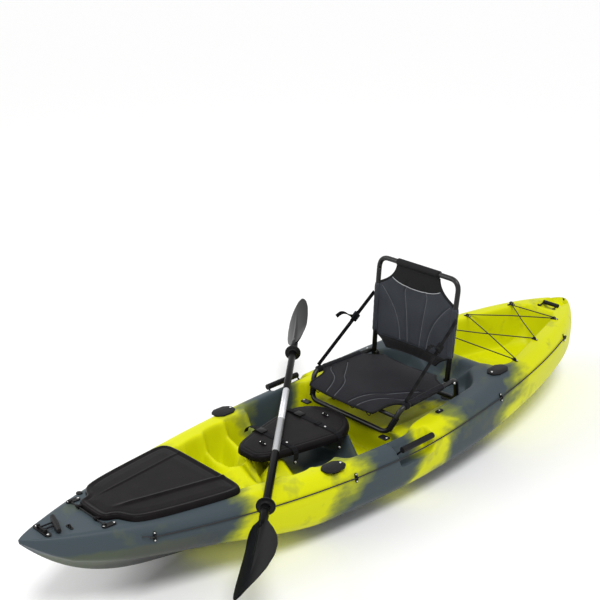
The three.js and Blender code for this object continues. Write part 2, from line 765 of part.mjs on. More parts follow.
// Bow hatch: a bin lid that is hinged on a rod between two pads, with a hook at its aft skirt.
const hatchAft = 729;
const hatchFore = 1247;
const hatchHalfWidth = 243;
const hatchHeight = 22;
const hatchRim = 28;
const skirtBottom = 255;
const skirtThickness = 6;
const skirtHalfWidth = 180;
const hatchShares = [
  [0, 0], [0, 0.761], [0.025, 0.926], [0.089, 1], [0.33, 0.914], [0.639, 0.782], [0.79, 0.683], [0.844, 0.61],
  [0.876, 0.494], [0.9, 0.379], [0.972, 0.337], [0.994, 0.247], [1, 0.165], [1, 0],
];
const hatchOutline = outlineFromShares(hatchShares, hatchAft, hatchFore, hatchHalfWidth);
const hingeX = 1256;
const hingeHeight = 8;
const hingeRodRadius = 2.5;
const hingeLugRadius = 6.5;
const hingeLugWidth = 16;
const hingeLugY = 55;
const hingePadX = 1240;
const hingePadY = 112;
const hingePadLength = 56;
const hingePadWidth = 22;
const hingePadThickness = 5;
const hingeBossWidth = 12;
const hookZ = 286;
const hookLength = 16;
const hookRadius = 4;
const hookHeadRadius = 8;
const hookHeadThickness = 3;
const hatchFootHeight = 4;
const hatchFootIn = 1;
const hatchShoulderShare = 0.64;
const hatchRoofShare = 0.8;
const hatchRoofIn = 6;
const hatchBrowShare = 0.9;
const hatchBrowIn = 5;
const hatchTopIn = 13;
const hingeArmReach = 6;

const hingeZ = deckAt(hingeX) + hingeHeight;

function box(low, high) {
  return stack(rectangle(low.x, high.x, low.y, high.y), [[low.z, 0], [high.z, 0]]);
}

function bowHatchSolid() {
  const lift = (x) => deckAt(x);
  const cover = stack(hatchOutline, [
    [coverGap, -hatchFootIn], [hatchFootHeight, 0], [hatchHeight * hatchShoulderShare, 0],
    [hatchHeight * hatchBrowShare, -hatchBrowIn], [hatchHeight, -hatchTopIn],
  ], lift);
  const hollow = stack(hatchOutline, [
    [-overrun, -hatchRim], [hatchHeight * hatchShoulderShare, -hatchRim],
    [hatchHeight * hatchRoofShare, -hatchRim - hatchRoofIn],
  ], lift);
  const skirtTop = deckAt(hatchAft) + hatchHeight / 2;
  const skirtFore = hatchAft + skirtThickness;
  const skirt = box(v(hatchAft, -skirtHalfWidth, skirtBottom), v(skirtFore, skirtHalfWidth, skirtTop));
  let hatch = cover.subtract(hollow).add(skirt);
  const headX = hatchAft - hookLength;
  hatch = hatch.add(bar(v(headX, 0, hookZ), v(hatchAft + sink, 0, hookZ), hookRadius));
  hatch = hatch.add(bar(v(headX - hookHeadThickness, 0, hookZ), v(headX, 0, hookZ), hookHeadRadius));
  for (const side of Object.values(sides)) {
    const lugLow = side * hingeLugY - hingeLugWidth / 2;
    const lugHigh = side * hingeLugY + hingeLugWidth / 2;
    hatch = hatch.add(bar(v(hingeX, lugLow, hingeZ), v(hingeX, lugHigh, hingeZ), hingeLugRadius));
    const armBottom = hingeZ - hingeLugRadius / 2;
    const armTop = hingeZ + hingeLugRadius / 2;
    hatch = hatch.add(box(v(hatchFore - hingeArmReach, lugLow, armBottom), v(hingeX, lugHigh, armTop)));
  }
  const boreRadius = hingeRodRadius + boreGap;
  return hatch.subtract(bar(v(hingeX, -hingePadY, hingeZ), v(hingeX, hingePadY, hingeZ), boreRadius));
}
addPiece('bow_hatch_cover', bowHatchSolid(), blackPlastic());

const rodEnd = hingePadY - hingePadWidth / 2 - touchGap;
const hingeRod = bar(v(hingeX, -rodEnd, hingeZ), v(hingeX, rodEnd, hingeZ), hingeRodRadius);
addPiece('hatch_hinge_rod', hingeRod, blackTube());

function hingePadSolid(side) {
  const base = plate(stadium(hingePadLength, hingePadWidth), hingePadThickness);
  base.rotateZ(Math.PI / 2);
  const slope = Math.atan2(deckNormal(hingePadX).x, 1);
  base.rotateY(slope);
  const normal = deckNormal(hingePadX);
  base.translate(...deckPoint(hingePadX, side * hingePadY).addScaledVector(normal, touchGap).toArray());
  const inner = hingePadY - hingePadWidth / 2;
  const outer = inner + hingeBossWidth;
  const [low, high] = side > 0 ? [inner, outer] : [-outer, -inner];
  const bossBottom = deckAt(hingeX) + hingePadThickness / 2;
  const bossTop = hingeZ + hingeLugRadius / 2 + sink;
  const boss = box(v(hingeX - hingeLugRadius, low, bossBottom), v(hingeX + hingeLugRadius, high, bossTop));
  return solidFrom(base).add(boss);
}
for (const [word, side] of Object.entries(sides)) {
  addPiece(`hatch_hinge_pad_${word}`, hingePadSolid(side), blackPlastic());
}

// Hatch bungee: from the port eye over the hatch's hook to the starboard eye and back.
const hatchCordDiameter = 4;
const hatchEyeX = 685;
const hatchEyeY = 143;
const hookCordHalf = 5;
const hookCordFall = 2;
const hatchTailHeading = new THREE.Vector3(-0.6, 0.8, 0);
const deckUp = new THREE.Vector3(0, 0, 1);
const hatchEyeAt = (side) => v(hatchEyeX, side * hatchEyeY, frontStepTop);
const hatchTieHole = eyeHole(hatchEyeAt(1), deckUp);
const hatchTie = hatchTieHole.clone().addScaledVector(hatchTailHeading, -tieReach);
const hookTop = hookZ + hookRadius + hatchCordDiameter / 2 + boreGap;
const hookCordX = hatchAft - hookLength / 2;
const overHook = [
  v(hookCordX, hookCordHalf, hookTop - hookCordFall),
  v(hookCordX, 0, hookTop),
  v(hookCordX, -hookCordHalf, hookTop - hookCordFall),
];
const hatchStop = { hole: eyeHole(hatchEyeAt(-1), deckUp), reach: eyeReach + eyeDepth / 2 };
const hatchLacing = laced(overHook[2], [hatchStop], hatchTie);
const hatchRoute = [hatchTie, overHook[0], overHook[1], ...hatchLacing.points];
const hatchTail = hatchTieHole.clone().addScaledVector(hatchTailHeading, knotReach);
addPadEye('hatch_bungee_eye_port', hatchEyeAt(1), deckUp, hatchTailHeading);
addPadEye('hatch_bungee_eye_starboard', hatchEyeAt(-1), deckUp, hatchLacing.headings[0]);
addPiece('hatch_bungee', tiedCord(hatchRoute, hatchTie, hatchTail, hatchCordDiameter), blackCord());

// Console lid, with two straps over it that are screwed to the pedestal's flanks.
const lidHeight = 28;
const lidSkirtShare = 0.54;
const lidShoulderShare = 0.79;
const lidEdgeShare = 0.93;
const lidShoulderIn = 5;
const lidEdgeIn = 14;
const lidCrownShare = 0.6;
const lidFootHeight = 4;
const lidFootIn = 1;
const lidWallIn = 2;
const lidRoofIn = 8;
const lidTop = pedestalTop + lidHeight;

function consoleLidSolid() {
  const at = (share) => pedestalTop + lidHeight * share;
  const shell = stack(lidOutline, [
    [pedestalTop + touchGap, -lidFootIn], [pedestalTop + lidFootHeight, 0], [at(lidSkirtShare), 0],
    [at(lidShoulderShare), -lidShoulderIn], [at(lidEdgeShare), -lidEdgeIn], [lidTop, -lidEdgeIn, lidCrownShare],
  ]);
  const hollow = stack(lidOutline, [
    [pedestalTop - overrun, -binOutlineInset - lidWallIn], [at(lidSkirtShare), -binOutlineInset - lidWallIn],
    [at(lidShoulderShare), -binOutlineInset - lidRoofIn],
  ]);
  return shell.subtract(hollow);
}
addPiece('console_lid', consoleLidSolid(), blackPlastic());

const strapWidth = 25;
const strapThickness = 1.6;
const strapBottom = 250;
const strapTabTop = 257;
const strapTabBottom = 241;
const strapTabWidth = 18;
const aftStrapX = 175;
const foreStrapX = 380;
const lidStrapXs = { aft: aftStrapX, fore: foreStrapX };

function lidStrapSolid(x) {
  const at = (share) => pedestalTop + lidHeight * share;
  const halfAt = (px) => shareAt(lidShares, (px - lidAft) / (lidFore - lidAft)) * lidRadius;
  const half = Math.max(halfAt(x - strapWidth / 2), halfAt(x + strapWidth / 2));
  const edge = [
    [half, strapBottom], [half, at(lidSkirtShare)], [half - lidShoulderIn, at(lidShoulderShare)],
    [half - lidEdgeIn, at(lidEdgeShare)], [(half - lidEdgeIn) * lidCrownShare, lidTop],
  ];
  const raisedBy = (out) => edge.map(([y, z]) => [y + out, z + out]);
  const around = (side) => [...side, ...[...side].reverse().map(([y, z]) => [-y, z])];
  const outer = around(raisedBy(boreGap + strapThickness));
  const inner = around(raisedBy(boreGap)).reverse();
  outer[0][1] = strapBottom;
  outer[outer.length - 1][1] = strapBottom;
  inner[0][1] = strapBottom;
  inner[inner.length - 1][1] = strapBottom;
  const profile = [...outer, ...inner];
  const band = stack(profile, [[-strapWidth / 2, 0], [strapWidth / 2, 0]]);
  const turn = new THREE.Matrix4().makeBasis(v(0, 1, 0), v(0, 0, 1), v(1, 0, 0)).setPosition(x, 0, 0);
  let strap = band.transform(turn.toArray());
  for (const side of Object.values(sides)) {
    const flank = half - lidOverhang + sink + boreGap;
    const low = side > 0 ? flank : -half - boreGap - strapThickness;
    const high = side > 0 ? half + boreGap + strapThickness : -flank;
    const tab = box(v(x - strapTabWidth / 2, low, strapTabBottom), v(x + strapTabWidth / 2, high, strapTabTop));
    strap = strap.add(tab);
  }
  return strap;
}

const buckleLength = 40;
const buckleWidth = 32;
const buckleHeight = 6;
const buckleY = -78;
const buckleFoot = 1;
const buckleShoulder = 2;
const buckleTopIn = 3;
for (const [word, x] of Object.entries(lidStrapXs)) {
  addPiece(`lid_strap_${word}`, lidStrapSolid(x), blackWebbing());
  const bottom = lidTop + boreGap + strapThickness + touchGap;
  const top = bottom + buckleHeight;
  const [low, high] = [buckleY - buckleLength / 2, buckleY + buckleLength / 2];
  const buckle = stack(rectangle(x - buckleWidth / 2, x + buckleWidth / 2, low, high), [
    [bottom, -buckleFoot], [bottom + buckleFoot, 0], [top - buckleShoulder, 0], [top, -buckleTopIn],
  ]);
  addPiece(`lid_buckle_${word}`, buckle, blackPlastic());
}

const lidEyeShares = { aft: 0.145, fore: 0.82 };
for (const [word, share] of Object.entries(lidEyeShares)) {
  const x = lidAft + share * (lidFore - lidAft);
  addPadEye(`lid_eye_${word}`, v(x, 0, lidTop), deckUp, v(1, 0, 0));
}

// Rod holder caps: six-sided covers that swivel on one screw over their pockets.
const capLength = 104;
const capWidth = 72;
const capThickness = 7;
const capScrewX = 38;
const capScrewRadius = 5;
const capScrewHeight = 1.5;
const capFoot = 1;
const capShoulder = 2;
const capTopIn = 4;
const capShares = [[0, 0], [0, 0.36], [0.07, 0.62], [0.26, 1], [0.74, 1], [0.93, 0.62], [1, 0.36], [1, 0]];

function rodCapSolid(screwSide) {
  const outline = outlineFromShares(capShares, -capLength / 2, capLength / 2, capWidth / 2);
  const cover = stack(outline, [
    [0, -capFoot], [capFoot, 0], [capThickness - capShoulder, 0], [capThickness, -capTopIn],
  ]);
  const screwX = screwSide * capScrewX;
  return cover.add(bar(v(screwX, 0, sink), v(screwX, 0, capThickness + capScrewHeight), capScrewRadius));
}
for (const [row, pocket] of Object.entries(rodPockets)) {
  for (const [word, side] of Object.entries(sides)) {
    const cap = addPiece(`rod_cap_${row}_${word}`, rodCapSolid(row === 'rear' ? 1 : -1), blackRubber());
    const normal = deckNormal(pocket.x);
    const at = deckPoint(pocket.x, side * pocket.y).addScaledVector(normal, coverGap);
    seat(cap, at, normal, v(1, 0, 0));
  }
}

// Plugs: one in the hull's vent, and one in each scupper.
const plugFlangeThickness = 4;
const ventFlangeRadius = 13;
const ventStemLength = 14;
const scupperFlangeRadius = 26;
const scupperStemLength = 25;
const plugTaper = 2;

function plugSolid(flangeRadius, stemRadius, stemLength) {
  const top = v(0, 0, coverGap + plugFlangeThickness);
  return bar(v(0, 0, coverGap), top, flangeRadius, holeSides, flangeRadius - plugTaper)
    .add(bar(v(0, 0, -stemLength), v(0, 0, coverGap + sink), stemRadius, holeSides));
}
const ventPlug = plugSolid(ventFlangeRadius, ventRadius - boreGap * 2, ventStemLength);
seat(addPiece('drain_plug', ventPlug, blackRubber()), deckPoint(ventX, ventY), deckNormal(ventX), v(1, 0, 0));
const scupperPlug = geometryOf(plugSolid(scupperFlangeRadius, scupperRadius - boreGap, scupperStemLength));
for (const [word, side] of Object.entries(sides)) {
  const plug = addPiece(`scupper_plug_${word}`, scupperPlug, blackRubber());
  plug.position.set(scupperX, side * scupperY, seatFloor);
}

// Carry handles: a swinging grip in each side notch, a toggle at the bow and a bail at the stern.
const gripRadius = 12.5;
const gripAft = -106;
const gripFore = 71;
const gripY = 398;
const gripZ = 279;
const handlePivotY = 356;
const handlePivotZ = 235;
const handleLegRadius = 4;
const handleLegInset = 11;
const handleElbowRadius = 4.5;
const handleLegSides = 6;

function sideHandleSolid(side) {
  const grip = bar(v(gripAft, side * gripY, gripZ), v(gripFore, side * gripY, gripZ), gripRadius);
  let handle = grip;
  for (const [wall, inward] of [[notchAft, 1], [notchFore, -1]]) {
    const legX = wall + inward * handleLegInset;
    const stubEnd = v(wall + inward * touchGap, side * handlePivotY, handlePivotZ);
    const elbow = v(legX, side * handlePivotY, handlePivotZ);
    handle = handle.add(bar(stubEnd, elbow, handleLegRadius, handleLegSides));
    handle = handle.add(ball(elbow, handleElbowRadius));
    const legX2 = legX + inward * handleLegRadius;
    handle = handle.add(bar(elbow, v(legX2, side * gripY, gripZ), handleLegRadius, handleLegSides));
  }
  return handle;
}
for (const [word, side] of Object.entries(sides)) {
  addPiece(`side_handle_${word}`, sideHandleSolid(side), blackRubber());
}

const bowBaseX = 1435;
const bowBaseLength = 99;
const bowBaseWidth = 24;
const bowBaseThickness = 5;
const bowLugY = 20;
const bowLugWidth = 6;
const bowPinHeight = 12;
const bowPinRadius = 3;
const toggleRadius = 11;
const toggleTaper = 2;
const toggleStartX = 1366;
const toggleStartY = -44;
const toggleEndX = 1400;
const toggleEndY = 52;
const toggleArmY = 11;
const toggleArmRadius = 3.5;
const toggleSides = 10;
const toggleArmSides = 6;
const bowPinZ = deckAt(bowBaseX) + bowPinHeight;

function bowBaseSolid() {
  const base = plate(stadium(bowBaseLength, bowBaseWidth), bowBaseThickness);
  const normal = deckNormal(bowBaseX);
  base.rotateY(Math.atan2(normal.x, normal.z));
  base.translate(...deckPoint(bowBaseX, 0).addScaledVector(normal, touchGap).toArray());
  let solid = solidFrom(base);
  const bottom = deckAt(bowBaseX) + bowBaseThickness / 2;
  for (const side of Object.values(sides)) {
    const [low, high] = side > 0 ? [bowLugY, bowLugY + bowLugWidth] : [-bowLugY - bowLugWidth, -bowLugY];
    const top = bowPinZ + bowLugWidth;
    solid = solid.add(box(v(bowBaseX - bowLugWidth, low, bottom), v(bowBaseX + bowLugWidth, high, top)));
  }
  return solid;
}
addPiece('bow_handle_base', bowBaseSolid(), blackPlastic());

function bowToggleSolid() {
  const toggleZ = deckAt(toggleEndX) + coverGap + toggleRadius;
  const start = v(toggleStartX, toggleStartY, toggleZ);
  const end = v(toggleEndX, toggleEndY, toggleZ);
  const middle = start.clone().lerp(end, 1 / 2);
  const along = (y) => THREE.MathUtils.mapLinear(y, start.y, end.y, start.x, end.x);
  const tip = toggleRadius - toggleTaper;
  let toggle = bar(start, middle, tip, toggleSides, toggleRadius);
  toggle = toggle.add(bar(middle, end, toggleRadius, toggleSides, tip));
  const pinHalf = bowLugY - touchGap;
  toggle = toggle.add(bar(v(bowBaseX, -pinHalf, bowPinZ), v(bowBaseX, pinHalf, bowPinZ), bowPinRadius));
  for (const side of Object.values(sides)) {
    const y = side * toggleArmY;
    toggle = toggle.add(bar(v(along(y), y, toggleZ), v(bowBaseX, y, bowPinZ), toggleArmRadius, toggleArmSides));
  }
  return toggle;
}
addPiece('bow_handle', bowToggleSolid(), blackRubber());

const bowEyeX = 1350;
const bowEyeY = 37;
addPadEye('bow_pad_eye', deckPoint(bowEyeX, bowEyeY), deckNormal(bowEyeX), v(1, 0, 0));

const bailPivotX = -1384;
const bailPivotZ = 340;
const bailGripX = -1420;
const bailGripZ = 347;
const bailGripRadius = 10;
const bailGripHalf = 42;
const bailStubRadius = 5;
const bailLegRadius = 3.5;
const bailLegSides = 8;

function sternHandleSolid() {
  const gripEnds = [-bailGripHalf, bailGripHalf].map((y) => v(bailGripX, y, bailGripZ));
  let handle = bar(gripEnds[0], gripEnds[1], bailGripRadius);
  for (const side of Object.values(sides)) {
    const wallY = side * (scoopHalfWidth - touchGap);
    const legY = side * (bailGripHalf - bailLegRadius);
    const innerY = side * (bailGripHalf - bailLegRadius * 2);
    const pivot = v(bailPivotX, legY, bailPivotZ);
    const wallEnd = v(bailPivotX, wallY, bailPivotZ);
    handle = handle.add(bar(wallEnd, pivot.clone().setY(innerY), bailStubRadius, bailLegSides));
    handle = handle.add(bar(pivot, v(bailGripX, legY, bailGripZ), bailLegRadius, bailLegSides));
  }
  return handle;
}
addPiece('stern_handle', sternHandleSolid(), blackRubber());

// Seat frame: round tube bent at named corners.
function bentPath(corners, bend, steps = 3) {
  const points = [corners[0]];
  for (let i = 1; i + 1 < corners.length; i += 1) {
    const back = new THREE.Vector3().subVectors(corners[i - 1], corners[i]);
    const ahead = new THREE.Vector3().subVectors(corners[i + 1], corners[i]);
    const reach = Math.min(bend, back.length() / 2, ahead.length() / 2);
    const curve = new THREE.QuadraticBezierCurve3(
      corners[i].clone().addScaledVector(back.normalize(), reach),
      corners[i],
      corners[i].clone().addScaledVector(ahead.normalize(), reach),
    );
    points.push(...curve.getPoints(steps));
  }
  points.push(corners[corners.length - 1]);
  return points;
}

const seatTube = seatTubeDiameter / 2;
const seatFootZ = seatLedge + touchGap + seatTube;
const seatRearX = -460;
const seatFrontX = -30;
const seatFootY = 220;
const railRearX = -438;
const railFrontX = -78;
const railRearY = 234;
const railFrontY = 255;
const railZ = 356;
const seatBend = 34;
const crossTubeX = -59;
const crossTubeY = 243;
const crossTubeZ = 318;
const crossTubeRadius = 8;
const pivotX = -405;
const pivotZ = 355;
const pivotBolt = 4;
const pivotHead = 8;
const pivotHeadThickness = 4.5;
const boltSides = 8;

function railY(x) {
  return THREE.MathUtils.lerp(railRearY, railFrontY, (x - railRearX) / (railFrontX - railRearX));
}

const backFootY = 212.3;
const backFootZ = 338;
const backFootX = -403;
const backKneeX = -441;
const backKneeY = 222;
const backKneeZ = 690;
const backTopX = -456;
const backTopY = 224;
const backTopZ = 791;
const backBend = 66;
const backTubeSides = 12;

function seatBaseSolid() {
  let frame = null;
  for (const side of Object.values(sides)) {
    const corners = [
      v(seatRearX, -side * sink, seatFootZ), v(seatRearX, side * seatFootY, seatFootZ),
      v(railRearX, side * railRearY, railZ), v(railFrontX, side * railFrontY, railZ),
      v(seatFrontX, side * seatFootY, seatFootZ), v(seatFrontX, -side * sink, seatFootZ),
    ];
    const half = solidFrom(tubeAlong(bentPath(corners, seatBend), seatTube));
    frame = frame ? frame.add(half) : half;
    const outer = side * (railY(pivotX) + seatTube + pivotHeadThickness);
    const inner = side * (backFootY - seatTube - sink - pivotHeadThickness);
    frame = frame.add(bar(v(pivotX, outer, pivotZ), v(pivotX, inner, pivotZ), pivotBolt, boltSides));
    const head = side * (railY(pivotX) + seatTube - sink);
    frame = frame.add(bar(v(pivotX, outer, pivotZ), v(pivotX, head, pivotZ), pivotHead, boltSides));
    const nut = side * (backFootY - seatTube - sink);
    frame = frame.add(bar(v(pivotX, inner, pivotZ), v(pivotX, nut, pivotZ), pivotHead, boltSides));
  }
  const [left, right] = [v(crossTubeX, -crossTubeY, crossTubeZ), v(crossTubeX, crossTubeY, crossTubeZ)];
  return frame.add(bar(left, right, crossTubeRadius, boltSides));
}
addPiece('seat_base_frame', seatBaseSolid(), blackTube());

// Seat pan: a padded mesh sling with a sleeve along each rail.
const panRearX = -402;
const panFrontX = 15;
const panRows = 14;
const panColumns = 12;
const panEdge = 7;
const panPad = 15;
const panSag = 9;
const panFrontDrop = 9;
const panDropShare = 0.75;
const sleeveThickness = 2.5;
const sleeveGap = 0.8;
const sleeveRearX = -345;
const sleeveFrontX = -128;
const panWidthShares = [
  [0, 0.62], [0.06, 0.7], [0.13, 0.86], [0.145, 1], [0.66, 1], [0.7, 0.88], [0.75, 0.8],
  [0.9, 0.8], [0.97, 0.78], [1, 0.72],
];

// The thickness of a pad: drawn in at its edges, crowned between them, with sewn channels along it.
const fullnessPower = 4;
const channelShares = [0.25, 0.75];
const channelDepthShare = 0.45;
const channelWidthShare = 0.06;

function padding(edge, pad, along, across) {
  const u = along * 2 - 1;
  const w = across * 2 - 1;
  const swell = (1 - u ** fullnessPower) * (1 - w ** fullnessPower);
  const nearest = Math.min(...channelShares.map((share) => Math.abs(across - share)));
  const groove = channelDepthShare * Math.exp(-((nearest / channelWidthShare) ** 2));
  return edge + pad * swell * (1 - groove);
}

function sleeved(panel, railEnds, reach) {
  let solid = panel;
  for (const [from, to] of railEnds) {
    const beyond = new THREE.Vector3().subVectors(to, from).normalize().multiplyScalar(overrun);
    solid = solid.add(bar(from, to, seatTube + sleeveGap + reach));
    solid = solid.subtract(bar(from.clone().sub(beyond), to.clone().add(beyond), seatTube + sleeveGap));
  }
  return solid;
}

function seatPanSolid() {
  const grid = Array.from({ length: panRows + 1 }, (_, i) => {
    const along = i / panRows;
    const x = THREE.MathUtils.lerp(panRearX, panFrontX, along);
    const half = shareAt(panWidthShares, along) * railY(THREE.MathUtils.clamp(x, railRearX, railFrontX));
    return Array.from({ length: panColumns + 1 }, (__, j) => {
      const across = (j / panColumns) * 2 - 1;
      const drop = panFrontDrop * Math.max(0, (along - panDropShare) / (1 - panDropShare)) ** 2;
      return v(x, across * half, railZ - panSag * (1 - across ** 2) - drop);
    });
  });
  const panel = paddedSheet(grid, (along, across) => padding(panEdge, panPad, along, across));
  const rails = Object.values(sides).map((side) => [
    v(sleeveRearX, side * railY(sleeveRearX), railZ), v(sleeveFrontX, side * railY(sleeveFrontX), railZ),
  ]);
  return sleeved(panel, rails, sleeveThickness);
}
addPiece('seat_pan', seatPanSolid(), seatMesh());

// Backrest: an arch of tube that pivots on the seat's bolts, with a padded mesh panel.
function backFrameSolid() {
  const half = (side) => [
    v(backFootX, side * backFootY, backFootZ), v(backKneeX, side * backKneeY, backKneeZ),
    v(backTopX, side * backTopY, backTopZ),
  ];
  const path = bentPath([...half(1), ...half(-1).reverse()], backBend, 4);
  let frame = solidFrom(tubeAlong(path, seatTube, backTubeSides));
  for (const side of Object.values(sides)) {
    const bore = bar(v(pivotX, 0, pivotZ), v(pivotX, side * beam, pivotZ), pivotBolt + boreGap);
    frame = frame.subtract(bore);
  }
  return frame;
}
addPiece('back_frame', backFrameSolid(), blackTube());

const panelBottomZ = 400;
const panelTopDrop = 5;
const panelTopZ = backTopZ - panelTopDrop;
const panelRows = 15;
const panelColumns = 12;
const panelEdge = 7;
const panelPad = 13;
const panelBulge = 16;
const panelSleeveBottomZ = 455;
const panelSleeveTopZ = 672;
const headHalfWidth = 98;
const headSleeve = 4;
const panelWidthShares = [
  [0, 0.66], [0.05, 0.75], [0.12, 0.86], [0.14, 1], [0.71, 1], [0.73, 0.9], [0.8, 0.7],
  [0.88, 0.52], [0.95, 0.45], [1, 0.44],
];

function uprightAt(z) {
  const knee = z < backKneeZ;
  const start = knee ? [backFootX, backFootY, backFootZ] : [backKneeX, backKneeY, backKneeZ];
  const end = knee ? [backKneeX, backKneeY, backKneeZ] : [backTopX, backTopY, backTopZ];
  const share = (z - start[2]) / (end[2] - start[2]);
  const [x, y] = [0, 1].map((i) => THREE.MathUtils.lerp(start[i], end[i], share));
  return { x, y };
}

function backPanelSolid() {
  const grid = Array.from({ length: panelRows + 1 }, (_, i) => {
    const along = i / panelRows;
    const z = THREE.MathUtils.lerp(panelBottomZ, panelTopZ, along);
    const post = uprightAt(z);
    return Array.from({ length: panelColumns + 1 }, (__, j) => {
      const across = (j / panelColumns) * 2 - 1;
      const bulge = panelBulge * (1 - across ** 2) * (1 - along ** 2);
      return v(post.x - bulge, across * post.y * shareAt(panelWidthShares, along), z);
    });
  });
  const panel = paddedSheet(grid, (along, across) => padding(panelEdge, panelPad, along, across));
  const posts = Object.values(sides).map((side) => {
    return [panelSleeveBottomZ, panelSleeveTopZ].map((z) => v(uprightAt(z).x, side * uprightAt(z).y, z));
  });
  const head = [v(backTopX, -headHalfWidth, backTopZ), v(backTopX, headHalfWidth, backTopZ)];
  return sleeved(sleeved(panel, posts, sleeveThickness), [head], headSleeve);
}
addPiece('back_panel', backPanelSolid(), seatMesh());

// Recline straps, from the backrest's posts to the front of the rails, each with its buckle.
const reclineTopX = -430;
const reclineTopZ = 628;
const reclineOut = seatTube + sleeveGap + sleeveThickness + touchGap + strapThickness / 2;
const reclineTopY = uprightAt(reclineTopZ).y + reclineOut;
const reclineFootX = -118;
const reclineFootY = 254;
const reclineFootZ = 388;
const reclineBuckleShare = 0.36;
const reclineBuckleLength = 34;
const reclineBuckleThickness = 7;

function webbing(from, to, width, thickness) {
  const along = new THREE.Vector3().subVectors(to, from).normalize();
  const out = v(0, 1, 0);
  const wide = new THREE.Vector3().crossVectors(along, out).normalize();
  const ring = (at) => [[1, 1], [-1, 1], [-1, -1], [1, -1]].map(([a, b]) => {
    return at.clone().addScaledVector(wide, (a * width) / 2).addScaledVector(out, (b * thickness) / 2);
  });
  return loft([ring(from), ring(to)]);
}

for (const [word, side] of Object.entries(sides)) {
  const top = v(reclineTopX, side * reclineTopY, reclineTopZ);
  const foot = v(reclineFootX, side * reclineFootY, reclineFootZ);
  const along = new THREE.Vector3().subVectors(foot, top).normalize();
  const middle = new THREE.Vector3().lerpVectors(top, foot, reclineBuckleShare);
  const half = reclineBuckleLength / 2;
  const [near, far] = [-half, half].map((reach) => middle.clone().addScaledVector(along, reach));
  const buckle = webbing(near, far, buckleWidth, reclineBuckleThickness);
  const strap = webbing(top, foot, strapWidth, strapThickness).add(buckle);
  addPiece(`recline_strap_${word}`, strap, blackWebbing());
}

// Paddle: built along its own X and laid across the console lid and the port gunwale.
const paddleX = 285;
const paddleY = -68;
const paddleHeading = 0.757;
const paddleRestX = 656;
const shaftRadius = shaftDiameter / 2;
const shaftWall = 1.6;
const shaftEnd = 770;
const ferruleAft = 80;
const ferruleFore = 60;
const ferruleWall = 2;
const gripStart = 270;
const gripEnd = 689;
const gripWall = 1.2;
const sleeveRadius = shaftRadius + touchGap + gripWall;
const ringPlace = 655;
const ringRadius = 35;
const ringHub = 20;
const ringHubHalf = 10;
const ringRim = 3;
const bladeLength = 465;
const bladeWidth = 165;
const bladeStart = paddleLength / 2 - bladeLength;
const socketStart = 692;
const socketEnd = 800;
const socketRadius = 17;
const bladeEdge = 3;
const bladePad = 3;
const bladeSpoon = 26;
const bladeRibLength = 260;
const bladeRibRadius = 13;
const bladeRibTip = 3;
const bladeRibReach = 10;
const socketTaper = 3;
const bladeRows = 9;
const bladeColumns = 6;
const longEdgeShares = [
  [0, 0.3], [0.05, 0.38], [0.15, 0.43], [0.3, 0.455], [0.5, 0.47], [0.7, 0.46], [0.86, 0.41], [0.95, 0.34],
  [1, 0.25],
];
const shortEdgeShares = [
  [0, 0.1], [0.06, 0.13], [0.13, 0.21], [0.22, 0.32], [0.36, 0.46], [0.5, 0.53], [0.65, 0.52], [0.8, 0.41],
  [0.9, 0.24], [0.96, 0.06], [1, -0.1],
];
const bowBladeTurn = 0.698;
const sternBladeTurn = 0.908;

const paddle = new THREE.Group();
paddle.position.set(paddleX, paddleY, deckAt(paddleRestX) + coverGap + sleeveRadius);
paddle.rotation.z = paddleHeading;
kayak.add(paddle);

// Turned rings and tubes about the paddle's own X, from a closed profile of [x, radius] corners.
function turned(profile, count = 14) {
  const closed = [...profile, profile[0]].map(([x, r]) => new THREE.Vector2(r, x));
  const geometry = new THREE.LatheGeometry(closed, count);
  geometry.rotateZ(-Math.PI / 2);
  return solidFrom(geometry);
}

const boreRadius = shaftRadius - shaftWall;
const spigotRadius = boreRadius - coverGap;
const bowShaft = turned([
  [touchGap / 2, shaftRadius], [shaftEnd, shaftRadius], [shaftEnd, boreRadius],
  [ferruleFore, boreRadius], [ferruleFore, spigotRadius - ferruleWall],
  [-ferruleAft, spigotRadius - ferruleWall], [-ferruleAft, spigotRadius], [touchGap / 2, spigotRadius],
]);
const sternShaft = turned([
  [-touchGap / 2, shaftRadius], [-touchGap / 2, boreRadius], [-shaftEnd, boreRadius], [-shaftEnd, shaftRadius],
]);
addPiece('paddle_shaft_bow', bowShaft, silverTube(), paddle);
addPiece('paddle_shaft_stern', sternShaft, silverTube(), paddle);

const sleeveProfile = [
  [gripStart, sleeveRadius - gripWall], [gripEnd, sleeveRadius - gripWall], [gripEnd, sleeveRadius],
  [gripStart, sleeveRadius],
];
const ringBore = sleeveRadius + coverGap;
const ringProfile = [
  [-ringHubHalf, ringBore], [ringHubHalf, ringBore], [ringHubHalf, ringHub], [ringRim, ringHub],
  [ringRim, ringRadius - ringRim], [ringRim * 2, ringRadius], [-ringRim, ringRadius], [-ringRim, ringHub],
  [-ringHubHalf, ringHub],
];
const mirroredAlong = (profile, side) => profile.map(([x, r]) => [side * x, r]);
for (const [word, side] of [['bow', 1], ['stern', -1]]) {
  addPiece(`paddle_grip_${word}`, turned(mirroredAlong(sleeveProfile, side)), blackPlastic(), paddle);
  const ring = ringProfile.map(([x, r]) => [ringPlace + x, r]);
  addPiece(`drip_ring_${word}`, turned(mirroredAlong(ring, side)), blackRubber(), paddle);
}

